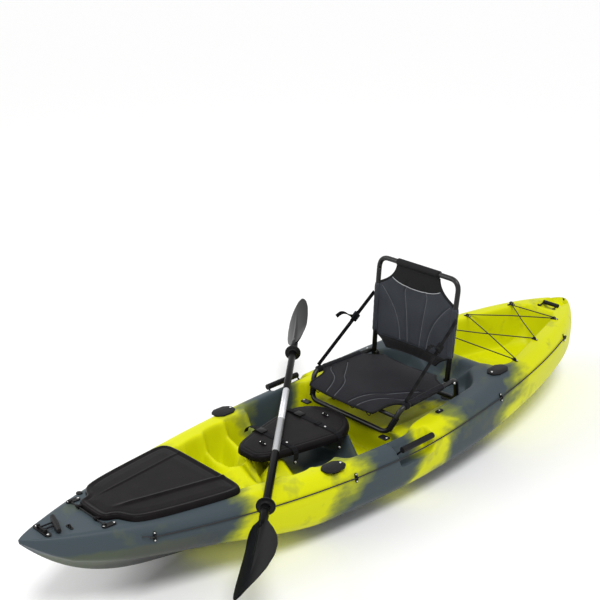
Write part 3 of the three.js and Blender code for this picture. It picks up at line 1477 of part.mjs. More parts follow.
function bladeSolid() {
  const grid = Array.from({ length: bladeRows + 1 }, (_, i) => {
    const along = i / bladeRows;
    const long = shareAt(longEdgeShares, along) * bladeWidth;
    const short = shareAt(shortEdgeShares, along) * bladeWidth;
    return Array.from({ length: bladeColumns + 1 }, (__, j) => {
      const y = THREE.MathUtils.lerp(-short, long, j / bladeColumns);
      return v(bladeStart + along * bladeLength, y, -bladeSpoon * along ** 2);
    });
  });
  const swell = (across) => 1 - (across * 2 - 1) ** 2;
  const face = paddedSheet(grid, (along, across) => bladeEdge + bladePad * swell(across) * (1 - along));
  const socket = turned([
    [socketStart, 0], [socketEnd, 0], [socketEnd, socketRadius - socketTaper], [socketStart, socketRadius],
  ]);
  const ribEnd = socketEnd + bladeRibLength;
  const ribDrop = bladeSpoon * ((ribEnd - bladeStart) / bladeLength) ** 2;
  const ribStart = v(socketEnd - bladeRibReach, 0, 0);
  const rib = bar(ribStart, v(ribEnd, 0, -ribDrop), bladeRibRadius, holeSides, bladeRibTip);
  const boreRadiusToFit = (shaftRadius + touchGap) / Math.cos(Math.PI / holeSides);
  const bore = bar(v(socketStart - overrun, 0, 0), v(shaftEnd + touchGap, 0, 0), boreRadiusToFit, holeSides);
  return face.add(rib).add(socket).subtract(bore);
}
const blade = geometryOf(bladeSolid());
const bowBlade = addPiece('paddle_blade_bow', blade, blackPlastic(), paddle);
bowBlade.rotation.x = Math.PI + bowBladeTurn;
const sternBlade = addPiece('paddle_blade_stern', blade, blackPlastic(), paddle);
sternBlade.rotation.set(Math.PI + sternBladeTurn, 0, Math.PI);

export default kayak;
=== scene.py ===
import json
import math

import bmesh
import bpy
import numpy as np
from mathutils import Matrix, Vector

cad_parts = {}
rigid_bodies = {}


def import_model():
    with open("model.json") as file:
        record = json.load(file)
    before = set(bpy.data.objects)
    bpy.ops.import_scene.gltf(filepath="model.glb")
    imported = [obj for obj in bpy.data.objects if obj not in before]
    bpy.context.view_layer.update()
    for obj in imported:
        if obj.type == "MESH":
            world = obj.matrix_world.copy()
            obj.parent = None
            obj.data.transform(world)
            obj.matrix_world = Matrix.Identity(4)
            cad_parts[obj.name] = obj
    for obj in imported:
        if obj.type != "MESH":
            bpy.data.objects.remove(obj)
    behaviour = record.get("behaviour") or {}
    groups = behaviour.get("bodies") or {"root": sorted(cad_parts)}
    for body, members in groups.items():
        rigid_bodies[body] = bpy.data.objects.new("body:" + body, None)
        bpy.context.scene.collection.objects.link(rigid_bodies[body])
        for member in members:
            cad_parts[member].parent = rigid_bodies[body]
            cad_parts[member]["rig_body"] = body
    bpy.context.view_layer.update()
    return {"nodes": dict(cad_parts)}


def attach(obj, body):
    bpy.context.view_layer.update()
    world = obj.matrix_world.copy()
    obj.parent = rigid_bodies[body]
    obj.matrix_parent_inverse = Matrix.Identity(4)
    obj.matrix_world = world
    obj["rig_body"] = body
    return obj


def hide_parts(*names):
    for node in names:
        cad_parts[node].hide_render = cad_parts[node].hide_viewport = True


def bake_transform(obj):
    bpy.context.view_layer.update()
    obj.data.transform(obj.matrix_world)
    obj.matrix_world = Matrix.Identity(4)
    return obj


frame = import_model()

# Camera: where the photographer stood, ahead of the bow and to port, looking down at the deck.
# A long lens level with a standing person's eyes, a few paces away.
azimuth, elevation, roll = (math.radians(angle) for angle in (137.7509, 21.8230, -1.3897))
camera = bpy.data.objects.new("camera", bpy.data.cameras.new("camera"))
camera.data.lens = 72.66
camera.data.sensor_width = 36
camera.data.clip_end = 100
camera.matrix_world = (
    Matrix.Translation((3.1470, 3.2143, 2.5820)) @ Matrix.Rotation(azimuth, 4, "Z")
    @ Matrix.Rotation(math.pi / 2 - elevation, 4, "X") @ Matrix.Rotation(roll, 4, "Z")
)
bpy.context.scene.collection.objects.link(camera)
bpy.context.scene.camera = camera
bpy.context.scene.view_settings.view_transform = "Standard"


# Studio: a white sweep of floor under a soft overhead light, with a broad window to one side.
# Floor and world look white to the camera and in reflections, and the floor keeps the kayak's shadow.
class Finish:
    """A material, with short ways to add nodes to it, to lay a pattern over it in the object's own
    coordinates, and to use a pattern as tones of colour or as a bump."""

    def __init__(self, name, slot, roughness=0.5, specular=0.5, colour=None):
        self.slot = slot
        self.material = bpy.data.materials.new(name)
        self.material.use_nodes = True
        self.tree = self.material.node_tree
        self.shader = self.tree.nodes["Principled BSDF"].inputs
        self.coords = self.add("TexCoord").outputs["Object"]
        self.shader["Roughness"].default_value = roughness
        self.shader["Specular IOR Level"].default_value = specular
        if colour:
            self.shader["Base Color"].default_value = (*colour, 1)

    def fill(self, socket, value):
        """Links a socket to another one, or sets its value."""
        if isinstance(value, bpy.types.NodeSocket):
            self.tree.links.new(value, socket)
        else:
            socket.default_value = value

    def add(self, kind, **values):
        """A node, with its inputs filled, and its other settings made."""
        node = self.tree.nodes.new(f"ShaderNode{kind}")
        for key, value in values.items():
            if key in node.inputs:
                self.fill(node.inputs[key], value)
            else:
                setattr(node, key, value)
        return node

    def work(self, operation, *terms):
        """The result of a sum on numbers and sockets."""
        node = self.add("Math", operation=operation)
        for socket, term in zip(node.inputs, terms):
            self.fill(socket, term)
        return node.outputs[0]

    def pattern(self, kind, **values):
        return self.add(kind, **{"Vector": self.coords, **values}).outputs["Fac"]

    def ramp(self, value, stops):
        """Colours along a value, from the places and colours of their stops."""
        node = self.add("ValToRGB", Fac=value)
        elements = node.color_ramp.elements
        while len(elements) < len(stops):
            elements.new(0.5)
        for element, (place, colour) in zip(elements, stops):
            element.position, element.color = place, (*colour, 1)
        return node.outputs["Color"]

    def tones(self, value, low, high, places=(0, 1)):
        self.fill(self.shader["Base Color"], self.ramp(value, list(zip(places, (low, high)))))

    def bump(self, height, strength, distance):
        lift = self.add("Bump", Strength=strength, Distance=distance, Height=height)
        self.fill(self.shader["Normal"], lift.outputs["Normal"])


floor_mesh = bpy.data.meshes.new("floor")
floor_reach, ground_z = 30, -0.0005
quarters = ((-1, -1), (1, -1), (1, 1), (-1, 1))
floor_corners = [(x * floor_reach, y * floor_reach, ground_z) for x, y in quarters]
floor_mesh.from_pydata(floor_corners, [], [(0, 1, 2, 3)])
floor_mesh.materials.append(Finish("white sweep", None, 0.9, 0.1, (0.98, 0.98, 0.98)).material)
floor = bpy.data.objects.new("floor", floor_mesh)
bpy.context.scene.collection.objects.link(floor)

world = bpy.data.worlds.new("studio")
world.use_nodes = True
bpy.context.scene.world = world
nodes, links = world.node_tree.nodes, world.node_tree.links
sky, white = nodes["Background"], nodes.new("ShaderNodeBackground")
sky.inputs["Strength"].default_value = 0.5
for light in (sky, white):
    light.inputs["Color"].default_value = (1, 1, 1, 1)
ray = nodes.new("ShaderNodeLightPath").outputs
seen = ray["Is Camera Ray"]
for kind in ("Is Glossy Ray", "Is Transmission Ray"):
    either = nodes.new("ShaderNodeMath")
    either.operation = "MAXIMUM"
    links.new(seen, either.inputs[0])
    links.new(ray[kind], either.inputs[1])
    seen = either.outputs[0]
mix = nodes.new("ShaderNodeMixShader")
for source, socket in zip((seen, sky.outputs[0], white.outputs[0]), mix.inputs):
    links.new(source, socket)
links.new(mix.outputs[0], nodes["World Output"].inputs[0])


def lamp(name, kind, place, target, energy, size):
    data = bpy.data.lights.new(name, kind)
    data.energy = energy
    if kind == "SUN":
        data.angle = size
    else:
        data.shape = "RECTANGLE"
        data.size, data.size_y = size
    light = bpy.data.objects.new(name, data)
    light.location = place
    light.rotation_mode = "QUATERNION"
    light.rotation_quaternion = (Vector(target) - Vector(place)).to_track_quat("-Z", "Y")
    bpy.context.scene.collection.objects.link(light)


lamp("overhead", "SUN", (0.8, 2.2, 5.0), (0, 0, 0), 1.75, math.radians(25))
lamp("window", "AREA", (2.6, -2.2, 2.8), (0, 0, 0.2), 60, (3.0, 1.6))

# Cords: the side lines, the tank well's bungee and the hatch bungee, of black braided shock cord.
# They are led through pad eyes and knotted at their ends.
cord_finish = Finish("braided cord", "black_cord", 0.8)
strands = cord_finish.pattern("TexWave", bands_direction="DIAGONAL", Scale=260, Distortion=2)
cord_finish.tones(strands, (0.006, 0.006, 0.007), (0.026, 0.026, 0.028))
cord_finish.bump(strands, 0.5, 0.0006)
line_radius, cord_out = 0.0025, 0.0062


def shell(grid, ends=True):
    """A skin over a grid of points. Its rows are joined into rings, and each end is closed by a fan to
    the middle of its last ring."""
    rows, columns = grid.shape[:2]
    index = np.arange(rows * columns).reshape(rows, columns)
    index = np.hstack([index, index[:, :1]])
    quads = np.stack([index[:-1, :-1], index[:-1, 1:], index[1:, 1:], index[1:, :-1]], -1)
    points, faces = grid.reshape(-1, 3), quads.reshape(-1, 4).tolist()
    if ends:
        points = np.vstack([points, grid[0].mean(0), grid[-1].mean(0)])
        for middle, ring in ((len(points) - 2, index[0]), (len(points) - 1, index[-1, ::-1])):
            faces += [(middle, b, a) for a, b in zip(ring.tolist(), ring[1:].tolist())]
    return points, faces


def put(name, mesh, finish, body, nodes):
    """A piece in the scene, with its finish and the body that it moves with; the solids that it stands for
    are hidden."""
    mesh.shade_smooth()
    mesh.materials.append(finish.material)
    piece = bpy.data.objects.new(name, mesh)
    bpy.context.scene.collection.objects.link(piece)
    if body:
        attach(piece, body)
    if nodes:
        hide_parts(*nodes)
    return piece


def make(name, shells, finish, body, *nodes):
    """One piece from one or more skins, with the seams between their points closed."""
    points, faces, base = [], [], 0
    for part_points, part_faces in shells:
        points.append(part_points)
        faces += [tuple(corner + base for corner in face) for face in part_faces]
        base += len(part_points)
    mesh = bpy.data.meshes.new(name)
    mesh.from_pydata(np.vstack(points).tolist(), [], faces)
    shape = bmesh.new()
    shape.from_mesh(mesh)
    bmesh.ops.remove_doubles(shape, verts=shape.verts, dist=1e-7)
    bmesh.ops.recalc_face_normals(shape, faces=shape.faces)
    shape.to_mesh(mesh)
    shape.free()
    return put(name, mesh, finish, body, nodes)


def unit(vectors):
    return vectors / np.linalg.norm(vectors, axis=-1, keepdims=True)


def circle(count):
    """The angles of points spaced evenly round a ring."""
    return np.arange(count) * 2 * math.pi / count


def sweep(path, radius, sides=12):
    """A skin of rings square to a path of points, each carried on from the last one without twist."""
    path = np.asarray(path, float)
    heading = unit(np.gradient(path, axis=0))
    side = np.cross(heading[0], (0.31, 0.17, 0.93))
    carried = []
    for tangent in heading:
        side = unit(side - tangent * side.dot(tangent))
        carried.append(side)
    side, angle = np.array(carried)[:, None], circle(sides)[None, :, None]
    ring = side * np.cos(angle) + np.cross(heading[:, None], side) * np.sin(angle)
    return shell(path[:, None] + ring * np.broadcast_to(radius, len(path))[:, None, None])


def flowing(points, steps=6):
    """A smooth path that passes through its points: a cubic between each two, with the slope at a
    point taken from its neighbours."""
    points = np.asarray(points, float)
    slope = np.gradient(points, axis=0)
    t = np.linspace(0, 1, steps, endpoint=False)[:, None]
    rise = 3 * t ** 2 - 2 * t ** 3
    spans = [
        a * (1 - rise) + m * (t ** 3 - 2 * t ** 2 + t) + b * rise + n * (t ** 3 - t ** 2)
        for a, b, m, n in zip(points, points[1:], slope, slope[1:])
    ]
    return np.vstack(spans + [points[-1:]])


def ball(centre, radius, sides=10):
    """A knot: a small sphere turned from a half circle."""
    turn = np.linspace(0, math.pi, 7)[1:-1, None, None]
    angle = circle(sides)
    out = np.stack([angle * 0, np.cos(angle), np.sin(angle)], 1)
    return shell(np.array(centre) + (np.cos(turn) * (1, 0, 0) + np.sin(turn) * out) * radius)


# Hull lines: the plan, the sheer, the keel and the rounded section that the moulded skin follows.
# Everything on the deck stands on these lines.
half_length, half_beam, widest_x = 1.525, 0.405, -0.1


def plan_at(x):
    """Half the beam: a power of one minus the squared share of the way to each end."""
    reach = np.where(x > widest_x, half_length - widest_x, half_length + widest_x)
    share = np.minimum(np.abs(x - widest_x), reach - 0.003) / reach
    return half_beam * (1 - share ** 2) ** np.where(x > widest_x, 0.78, 0.6)


def sheer_at(x):
    """The deck's height: a gentle power curve to the bow and a quarter sine wave to the stern."""
    bow = 0.062 * np.clip(x / half_length, 0, None) ** 1.8
    stern = 0.060 * np.sin(np.clip(-x / 1.4, 0, 1) * math.pi / 2) ** 1.3
    return 0.290 + np.where(x > 0, bow, stern)


def keel_at(x):
    """The keel's height: flat amidships, rising to the stem and, late and steeply, to the stern."""
    rise = sheer_at(x) - 0.015
    bow = np.clip((x - 0.3) / (half_length - 0.3), 0, 1) ** 4.27
    share = np.clip((-0.9 - x) / (half_length - 0.9), 0, 1)
    return rise * np.where(x > 0, bow, 0.1525 * share ** 2 + 0.8475 * share ** 13.5)


def eased(low, high, x):
    """A smooth step from nought at one value to one at another."""
    share = np.clip((x - low) / (high - low), 0, 1)
    return share * share * (3 - 2 * share)


bilge_flat = np.array([[0.27, 0], [0.72, 0.236], [0.9, 0.36], [0.965, 0.512]])
bilge_vee = np.array([[0.02, 0], [0.276, 0.285], [0.653, 0.535], [0.948, 0.679]])


def section_corners(x):
    """Each station's corners on the port side, from the keel to the middle of the deck."""
    wide, top, keel = plan_at(x), sheer_at(x), keel_at(x)
    vee = np.where(x > 0, eased(0.414, 1.043, x), 0.527 * eased(0.31, 1.279, -x))
    flank = np.minimum(0.068, 0.45 * (top - keel))
    widest_z = top - flank
    gunwale = np.minimum(0.045, 0.16 * wide)
    bilge = bilge_flat[None] * (1 - vee)[:, None, None] + bilge_vee[None] * vee[:, None, None]
    corners = np.zeros((len(x), 9, 2))
    corners[:, 0, 1] = keel
    corners[:, 1:5, 0] = bilge[:, :, 0] * wide[:, None]
    corners[:, 1:5, 1] = keel[:, None] + bilge[:, :, 1] * (widest_z - keel)[:, None]
    corners[:, 5] = np.stack([wide, widest_z], 1)
    corners[:, 6] = np.stack([wide - 0.25 * gunwale, widest_z + 0.6 * flank], 1)
    corners[:, 7] = np.stack([wide - gunwale, top], 1)
    corners[:, 8, 1] = top
    return corners


def flank_frame(x, side, step=0.006):
    """The middle of the flank at x: its place, the way along it, and the way out of it."""
    place = section_corners(np.array([x - step, x, x + step]))
    middle = (place[:, 5] + place[:, 6]) / 2
    (aft_y, aft_z), (y, z), (fore_y, fore_z) = middle
    along = unit(np.array([2 * step, side * (fore_y - aft_y), fore_z - aft_z]))
    rise_y, rise_z = place[1, 6] - place[1, 5]
    out = np.cross((0, side * rise_y, rise_z), along) * side
    return np.array([x, side * y, z]), along, unit(out)


def deck_frame(x, y, step=0.045):
    """A place on the deck at x and y, and the way straight up from it."""
    aft_z, z, fore_z = sheer_at(np.array([x - step, x, x + step]))
    return np.array([x, y, z]), unit(np.array([(aft_z - fore_z) / (2 * step), 0, 1]))


# Side lines: a cord through four pad eyes along each flank, knotted at both ends.
# It lies on the flank between the eyes, and a short tail hangs free at the bow.
sides = {"port": 1, "starboard": -1}
side_eyes = np.array([-0.7974, -0.3731, 0.2013, 0.7351]) * half_length
for word, side in sides.items():
    route = []
    for i, x in enumerate(side_eyes):
        at, along, out = flank_frame(x, side)
        for reach in (-0.014 if i == 0 else -0.004, 0.014 if i == 3 else 0.004):
            route.append(at + along * reach + out * cord_out)
        for between in np.linspace(x + 0.05, side_eyes[i + 1] - 0.05, 9) if i < 3 else ():
            at, along, out = flank_frame(between, side)
            route.append(at + out * (line_radius + 0.0012))
    end = route[-1]
    tail = flowing([end, end + (0.012, -side * 0.002, 0.008), end + (0.03, -side * 0.012, 0.012)])
    skins = [sweep(flowing(route), line_radius, 10), ball(route[0], 0.005), ball(end, 0.005)]
    skins.append(sweep(tail, line_radius * 0.9, 8))
    make(f"side_line_cord_{word}", skins, cord_finish, "hull", f"side_line_{word}")

# Tank well bungee: shock cord laced from the starboard stern eye through the other five and back.
# It is tied off with a knot at the stern.
tank_aft, tank_fore, tank_half = -1.333, -0.700, 0.248
tank_eyes = {"front": (0.839, 1.056), "middle": (0.482, 0.794), "stern": (0.0964, 0.512)}


def tank_eye(row, side):
    along, across = tank_eyes[row]
    at, normal = deck_frame(tank_aft + along * (tank_fore - tank_aft), side * across * tank_half)
    return at + normal * cord_out


def lacing(start, stops, end, reach):
    """A route through eyes: it runs straight under each, turned halfway between the way in and out."""
    holes = [start] + [hole for hole, lift in stops] + [end]
    points = [start]
    for before, (hole, lift), after in zip(holes, stops, holes[2:]):
        heading = unit((unit(hole - before) + unit(after - hole)) * (1, 1, 0))
        points += [hole - heading * reach, hole + heading * reach]
        if lift:
            points.append((hole + after) / 2 + (0, 0, lift))
    return np.array(points + [end])


def tied(hole, way):
    """Where a cord is tied off before an eye, and where its tail ends behind it."""
    return hole - way * 0.018, hole + way * 0.014


tie, tail = tied(tank_eye("stern", -1), unit(np.array([-0.55, -0.83, 0])))
lift = 0.004
stops = [
    ("stern", 1, lift), ("middle", -1, lift), ("front", 1, 0), ("front", -1, -lift), ("middle", 1, -lift),
]
laced = lacing(tie, [(tank_eye(row, side), over) for row, side, over in stops], tie, 0.004)
turn = np.linspace(0, 4 * math.pi, 17) * 0.35
knot = tie + np.stack([0.010 * np.cos(turn), 0.008 * np.sin(turn) - 0.006, 0.004 + 0.002 * turn], 1)
tank_skins = [
    sweep(laced, line_radius, 10),
    sweep([tie, tail], line_radius, 10),
    sweep(flowing(knot, 4), line_radius * 0.9, 8),
    ball(tie, 0.0055),
    ball(tail, 0.005),
]
make("tank_well_cord", tank_skins, cord_finish, "hull", "tank_bungee")

# Hatch bungee: a thinner shock cord from eye to eye on the front step, over the hatch's hook.
# It is tied off at its port eye.
hatch_eye_x, hatch_eye_y, step_top = 0.685, 0.143, 0.243
hook_x, hook_top, thin_radius = 0.721, 0.2924, 0.002
port_hole = np.array([hatch_eye_x, hatch_eye_y, step_top + cord_out])
tie, tail = tied(port_hole, np.array([-0.6, 0.8, 0]))
over_hook = np.array([[hook_x, y, hook_top - abs(y) * 0.4] for y in (0.005, 0, -0.005)])
back = lacing(over_hook[2], [(port_hole * (1, -1, 1), 0)], tie, 0.0065)
route = np.vstack([tie, over_hook[:2], back])
skins = [sweep(route, thin_radius, 10), sweep([tie, tail], thin_radius, 10)]
skins += [ball(tie, 0.005), ball(tail, 0.005)]
make("hatch_cord", skins, cord_finish, "hull", "hatch_bungee")

# Hull: one rotomoulded polyethylene shell, with soft rounded edges wherever a well is sunk into it.
# Its deck is worked out as a height over the plan, and its colours are dusted into the mould in bands.
cockpit = [
    [0, 0], [0.005, 0.205], [0.02, 0.404], [0.047, 0.59], [0.077, 0.73], [0.103, 0.8], [0.132, 0.826],
    [0.282, 0.857], [0.388, 0.879], [0.425, 0.96], [0.461, 1], [0.525, 0.981], [0.632, 0.953], [0.668, 0.93],
    [0.684, 0.8], [0.7, 0.82], [0.76, 0.84], [0.774, 0.79], [0.79, 0.8], [0.85, 0.77], [0.868, 0.7],
    [0.884, 0.71], [0.925, 0.67], [0.965, 0.645], [0.99, 0.63], [1, 0.6], [1, 0],
]
seat_floor = [[0, 0], [0.02, 0.5], [0.09, 0.85], [0.16, 1], [1, 1], [1, 0]]
tank = [
    [0, 0], [0, 0.14], [0.013, 0.27], [0.045, 0.36], [0.1, 0.428], [0.48, 0.71], [0.842, 0.975], [0.88, 1],
    [0.93, 0.96], [0.976, 0.83], [1, 0.7], [1, 0],
]
bow_bin = [[0, 0], [0, 0.8], [0.12, 1], [0.9, 0.69], [1, 0.3], [1, 0]]
lid_radius, lid_aft, lid_fore = 0.160, 0.030, 0.534
lid_arc = [
    [(1 - math.cos(turn)) * lid_radius / (lid_fore - lid_aft), math.sin(turn)]
    for turn in np.linspace(0, math.pi / 2, 13)
]
lid_shares = lid_arc + [[0.7, 0.75], [0.9, 0.56], [0.97, 0.4], [1, 0.26], [1, 0]]


def outline(shares, aft, fore, half):
    """A closed outline from shares of its length and half width, and their mirror image."""
    port = np.array([[aft + along * (fore - aft), across * half] for along, across in shares])
    return np.vstack([port, port[::-1][1:-1] * (1, -1)])


def softened(points, rounds=2):
    """Cuts the corners of a closed outline, a quarter of each side at a time."""
    for _ in range(rounds):
        after = np.roll(points, -1, axis=0)
        points = np.stack([points * 0.75 + after * 0.25, points * 0.25 + after * 0.75], 1).reshape(-1, 2)
    return points


def depth_inside(points, x, y):
    """Signed distance to a closed outline at each x, y: positive inside it, negative outside."""
    near = np.full(x.shape, np.inf)
    crossed = np.zeros(x.shape, bool)
    for (ax, ay), (bx, by) in zip(points, np.roll(points, -1, axis=0)):
        dx, dy = bx - ax, by - ay
        t = np.clip(((x - ax) * dx + (y - ay) * dy) / max(dx * dx + dy * dy, 1e-12), 0, 1)
        near = np.minimum(near, (x - ax - t * dx) ** 2 + (y - ay - t * dy) ** 2)
        if dy:
            crossed ^= ((ay > y) != (by > y)) & (x < (bx - ax) * (y - ay) / dy + ax)
    return np.where(crossed, 1, -1) * np.sqrt(near)


def slope(distance, width, soft=0.003):
    """A ramp from nought to one over a width, with both of its corners rounded off softly."""
    low = np.logaddexp(0, distance / soft)
    high = np.logaddexp(0, (distance - width) / soft)
    return (low - high) * soft / width


draft, step_draft, well_soft = 0.018, 0.010, 0.004
foot_floor, ledge_top, seat_floor_top = 0.120, 0.238, 0.205
spine_top, pedestal_top, console_floor = 0.245, 0.272, 0.150
lid_outline = outline(lid_shares, lid_aft, lid_fore, lid_radius)
brace_xs = (0.307, 0.431, 0.563)


def cockpit_floor(x, y):
    """The height of the cockpit's floor: each ledge, step, ridge and recess is laid over the last."""
    ridge = np.zeros_like(x)
    crest = np.interp(np.abs(y), (0.09, 0.33), (0.190, 0.268))
    for brace in brace_xs:
        ridge = np.maximum(ridge, slope(x - brace + 0.034, 0.026) * slope(brace + 0.044 - x, 0.036))
    floor_z = foot_floor + ridge * (crest - foot_floor)
    for inside, top in (
        (-0.060 - x, ledge_top),
        (x - 0.660, step_top),
        (np.minimum(0.070 - np.abs(y), x - 0.420), spine_top),
        (depth_inside(lid_outline, x, y) - 0.010, pedestal_top),
    ):
        floor_z = floor_z + (np.maximum(top, floor_z) - floor_z) * slope(inside + step_draft, step_draft)
    recess = depth_inside(softened(outline(seat_floor, -0.610, 0.0, 0.190)), x, y)
    recess = np.minimum(recess, -0.056 - x)
    ribs = 0.003 * np.cos(y * 2 * math.pi / 0.038) * slope(recess - 0.03, 0.01)
    floor_z = floor_z + (seat_floor_top + ribs - floor_z) * slope(recess, step_draft)
    console_bin = depth_inside(lid_outline, x, y) - 0.028
    return floor_z + (console_floor - floor_z) * slope(console_bin, step_draft)


def sink_wells(x, y, z):
    """The deck's height after every well is sunk into it."""
    walls = depth_inside(softened(outline(cockpit, -0.655, 0.745, 0.322)), x, y)
    z = z + (cockpit_floor(x, y) - z) * slope(walls, draft, well_soft)
    tank_walls = depth_inside(softened(outline(tank, tank_aft, tank_fore, tank_half)), x, y)
    tank_ribs = 0.004 * np.cos(y * 2 * math.pi / 0.075) * eased(-0.80, -0.72, x)
    bucket = 0.152 - np.hypot(x + 0.880, y)
    floor_z = 0.160 - 0.030 * slope(bucket, step_draft)
    z = z + (floor_z - z) * slope(tank_walls + tank_ribs, draft, well_soft)
    bin_walls = depth_inside(softened(outline(bow_bin, 0.764, 1.150, 0.203)), x, y)
    z = z + (0.190 - z) * slope(bin_walls, step_draft, well_soft)
    scoop = np.minimum(0.050 - np.abs(y), -1.360 - x)
    z = z + np.minimum(0, 0.322 - z) * slope(scoop, 0.006, 0.002)
    for pocket_x, pocket_y in ((-0.677, 0.266), (0.375, 0.326)):
        mouth = 0.023 - np.hypot(x - pocket_x, np.abs(y) - pocket_y)
        z = z - 0.06 * slope(mouth, 0.005, 0.0015)
    return z


def cut_notches(x, y, z):
    """The side handles' notches, which open through the gunwales."""
    notch = np.minimum(np.minimum(x + 0.115, 0.080 - x), np.abs(y) - 0.346)
    return z + np.minimum(0, 0.205 - z) * slope(notch + 0.002, 0.006, 0.0025)


# The hull's stations lie closer together where the deck is busier, and each station's sixteen corners
# are rounded by quadratic curves, with the points on the deck spaced evenly between its gunwales.
spans = [
    (-1.525, -1.50, 0.0035), (-1.50, -1.34, 0.009), (-1.34, -0.69, 0.0066), (-0.69, -0.13, 0.0062),
    (-0.13, 0.10, 0.0042), (0.10, 0.76, 0.0050), (0.76, 1.49, 0.0135), (1.49, 1.5245, 0.004),
]
hull_x = np.unique(np.concatenate([np.linspace(a, b, round((b - a) / gap) + 1) for a, b, gap in spans]))
corners = section_corners(hull_x)
ring = np.concatenate([corners, (corners * (-1, 1))[:, 7:0:-1]], axis=1)
before, after = np.roll(ring, 1, axis=1) - ring, np.roll(ring, -1, axis=1) - ring
long_before, long_after = np.linalg.norm(before, axis=2), np.linalg.norm(after, axis=2)
reach = np.minimum(long_before, long_after) / 2
reach[:, 0] = np.minimum(reach[:, 0], 0.03)
start = ring + before * (reach / long_before)[..., None]
end = ring + after * (reach / long_after)[..., None]
between_corners = {0: 1, 7: 59, 8: 59, 15: 1}
columns = []
for k in range(16):
    for t in np.linspace(0, 1, 5):
        columns.append(start[:, k] * (1 - t) ** 2 + ring[:, k] * 2 * t * (1 - t) + end[:, k] * t ** 2)
    for t in np.linspace(0, 1, between_corners.get(k, 0) + 2)[1:-1]:
        columns.append(end[:, k] * (1 - t) + start[:, (k + 1) % 16] * t)
section = np.stack(columns, axis=1)
hull_grid = np.insert(section, 0, hull_x[:, None], axis=2)
x, y, z = np.moveaxis(hull_grid, -1, 0)
on_deck = (z > sheer_at(x) - 0.012) & (np.abs(y) < plan_at(x) - 0.012)
z[on_deck] = sink_wells(x[on_deck], y[on_deck], z[on_deck])
near_notch = (x > -0.14) & (x < 0.11) & (np.abs(y) > 0.33) & (z > 0.15)
z[near_notch] = cut_notches(x[near_notch], y[near_notch], z[near_notch])

paint = Finish("camouflage polyethylene", "moulded_hull", 0.38, 0.11)
along_x, across_y, up_z = paint.add("SeparateXYZ", Vector=paint.coords).outputs
stretched = paint.add("Mapping", Vector=paint.coords, Scale=(0.35, 1.0, 1.0)).outputs["Vector"]
cloud = paint.pattern("TexNoise", Scale=3.4, Detail=3, Roughness=0.5, Distortion=0.4)
brush = paint.pattern("TexNoise", Vector=stretched, Scale=26, Detail=4, Roughness=0.6)
dust = paint.pattern("TexNoise", Scale=9, Detail=3, Roughness=0.55)


def rising(value, start, gain, top=1.0):
    """Nought up to a start, and from there a gain, up to a top."""
    value = paint.work("MULTIPLY", paint.work("SUBTRACT", value, start), gain)
    return paint.work("MINIMUM", paint.work("MAXIMUM", value, 0.0), top)


def over(share, under, colour):
    """A colour laid over another one by a share."""
    mix = paint.add("Mix", data_type="RGBA", clamp_factor=True, Factor=share, A=under, B=colour)
    return mix.outputs["Result"]


# Bands of colour cross the hull, with edges that lean, wander and feather. The seat's floor stays lime,
# the underside of the bow is dusted darker, and a faint stain lies over it all.
feather = paint.work("MULTIPLY_ADD", brush, 0.10, -0.05)
leaning = paint.work("MULTIPLY_ADD", up_z, 0.5, -0.14)
banded = paint.work("ADD", along_x, paint.work("MINIMUM", leaning, 0.0))
for wandering in (paint.work("MULTIPLY_ADD", cloud, 0.44, -0.22), feather):
    banded = paint.work("ADD", banded, wandering)
ramp_long = 3.2
banded = paint.work("MULTIPLY_ADD", banded, 1 / ramp_long, 0.5)
lime, moss, slate = (0.665, 0.690, 0.003), (0.20, 0.235, 0.045), (0.055, 0.074, 0.086)
edges = [
    (-1.6, lime), (-0.78, lime), (-0.71, moss), (-0.65, slate), (-0.30, slate), (-0.24, moss), (-0.18, lime),
    (-0.07, lime), (-0.02, moss), (0.03, slate), (0.23, slate), (0.29, moss), (0.35, lime), (0.71, lime),
    (0.77, moss), (0.83, slate),
]
colour = paint.ramp(banded, [(place / ramp_long + 0.5, tone) for place, tone in edges])
seat_room = rising(paint.work("ABSOLUTE", across_y), 0.25, -14.0)
for start, gain in ((0.345, 60.0), (0.49, -60.0)):
    seat_room = paint.work("MINIMUM", seat_room, rising(banded, start, gain))
colour = over(seat_room, colour, (*lime, 1))
chine = paint.work("MULTIPLY_ADD", along_x, 0.07, 0.178)
chine = paint.work("MULTIPLY_ADD", feather, 0.3, chine)
below = rising(paint.work("SUBTRACT", chine, up_z), 0.0, 60.0, 0.85)
under_bow = paint.ramp(banded, [(0.78, (0.070, 0.064, 0.072)), (0.88, (0.085, 0.100, 0.066))])
colour = over(paint.work("MULTIPLY", below, rising(along_x, 0.86, 6.0)), colour, under_bow)
colour = over(rising(dust, 0.58, 3.0, 0.3), colour, (0.11, 0.125, 0.06, 1))
paint.fill(paint.shader["Base Color"], colour)
paint.bump(paint.pattern("TexNoise", Scale=420, Detail=2), 0.12, 0.0008)
make("hull_moulding", [shell(hull_grid)], paint, "hull", "hull")

# Fittings: injection-moulded pad eyes, hinge pads, handle base and buckles in satin black nylon.
# They keep their solids' shapes, with broken edges, and are held down by bright screws.
black = (0.008, 0.008, 0.009)


def grained(name, slot, roughness, specular, colour, scale, strength, distance, detail=2):
    """A plain colour with a fine moulded grain."""
    finish = Finish(name, slot, roughness, specular, colour)
    finish.bump(finish.pattern("TexNoise", Scale=scale, Detail=detail), strength, distance)
    return finish


nylon = grained("black nylon", "black_plastic", 0.36, 0.14, black, 900, 0.25, 0.0003)
steel = Finish("stainless screw", "silver_tube", 0.28, 0.5, (0.62, 0.62, 0.61))
steel.shader["Metallic"].default_value = 1


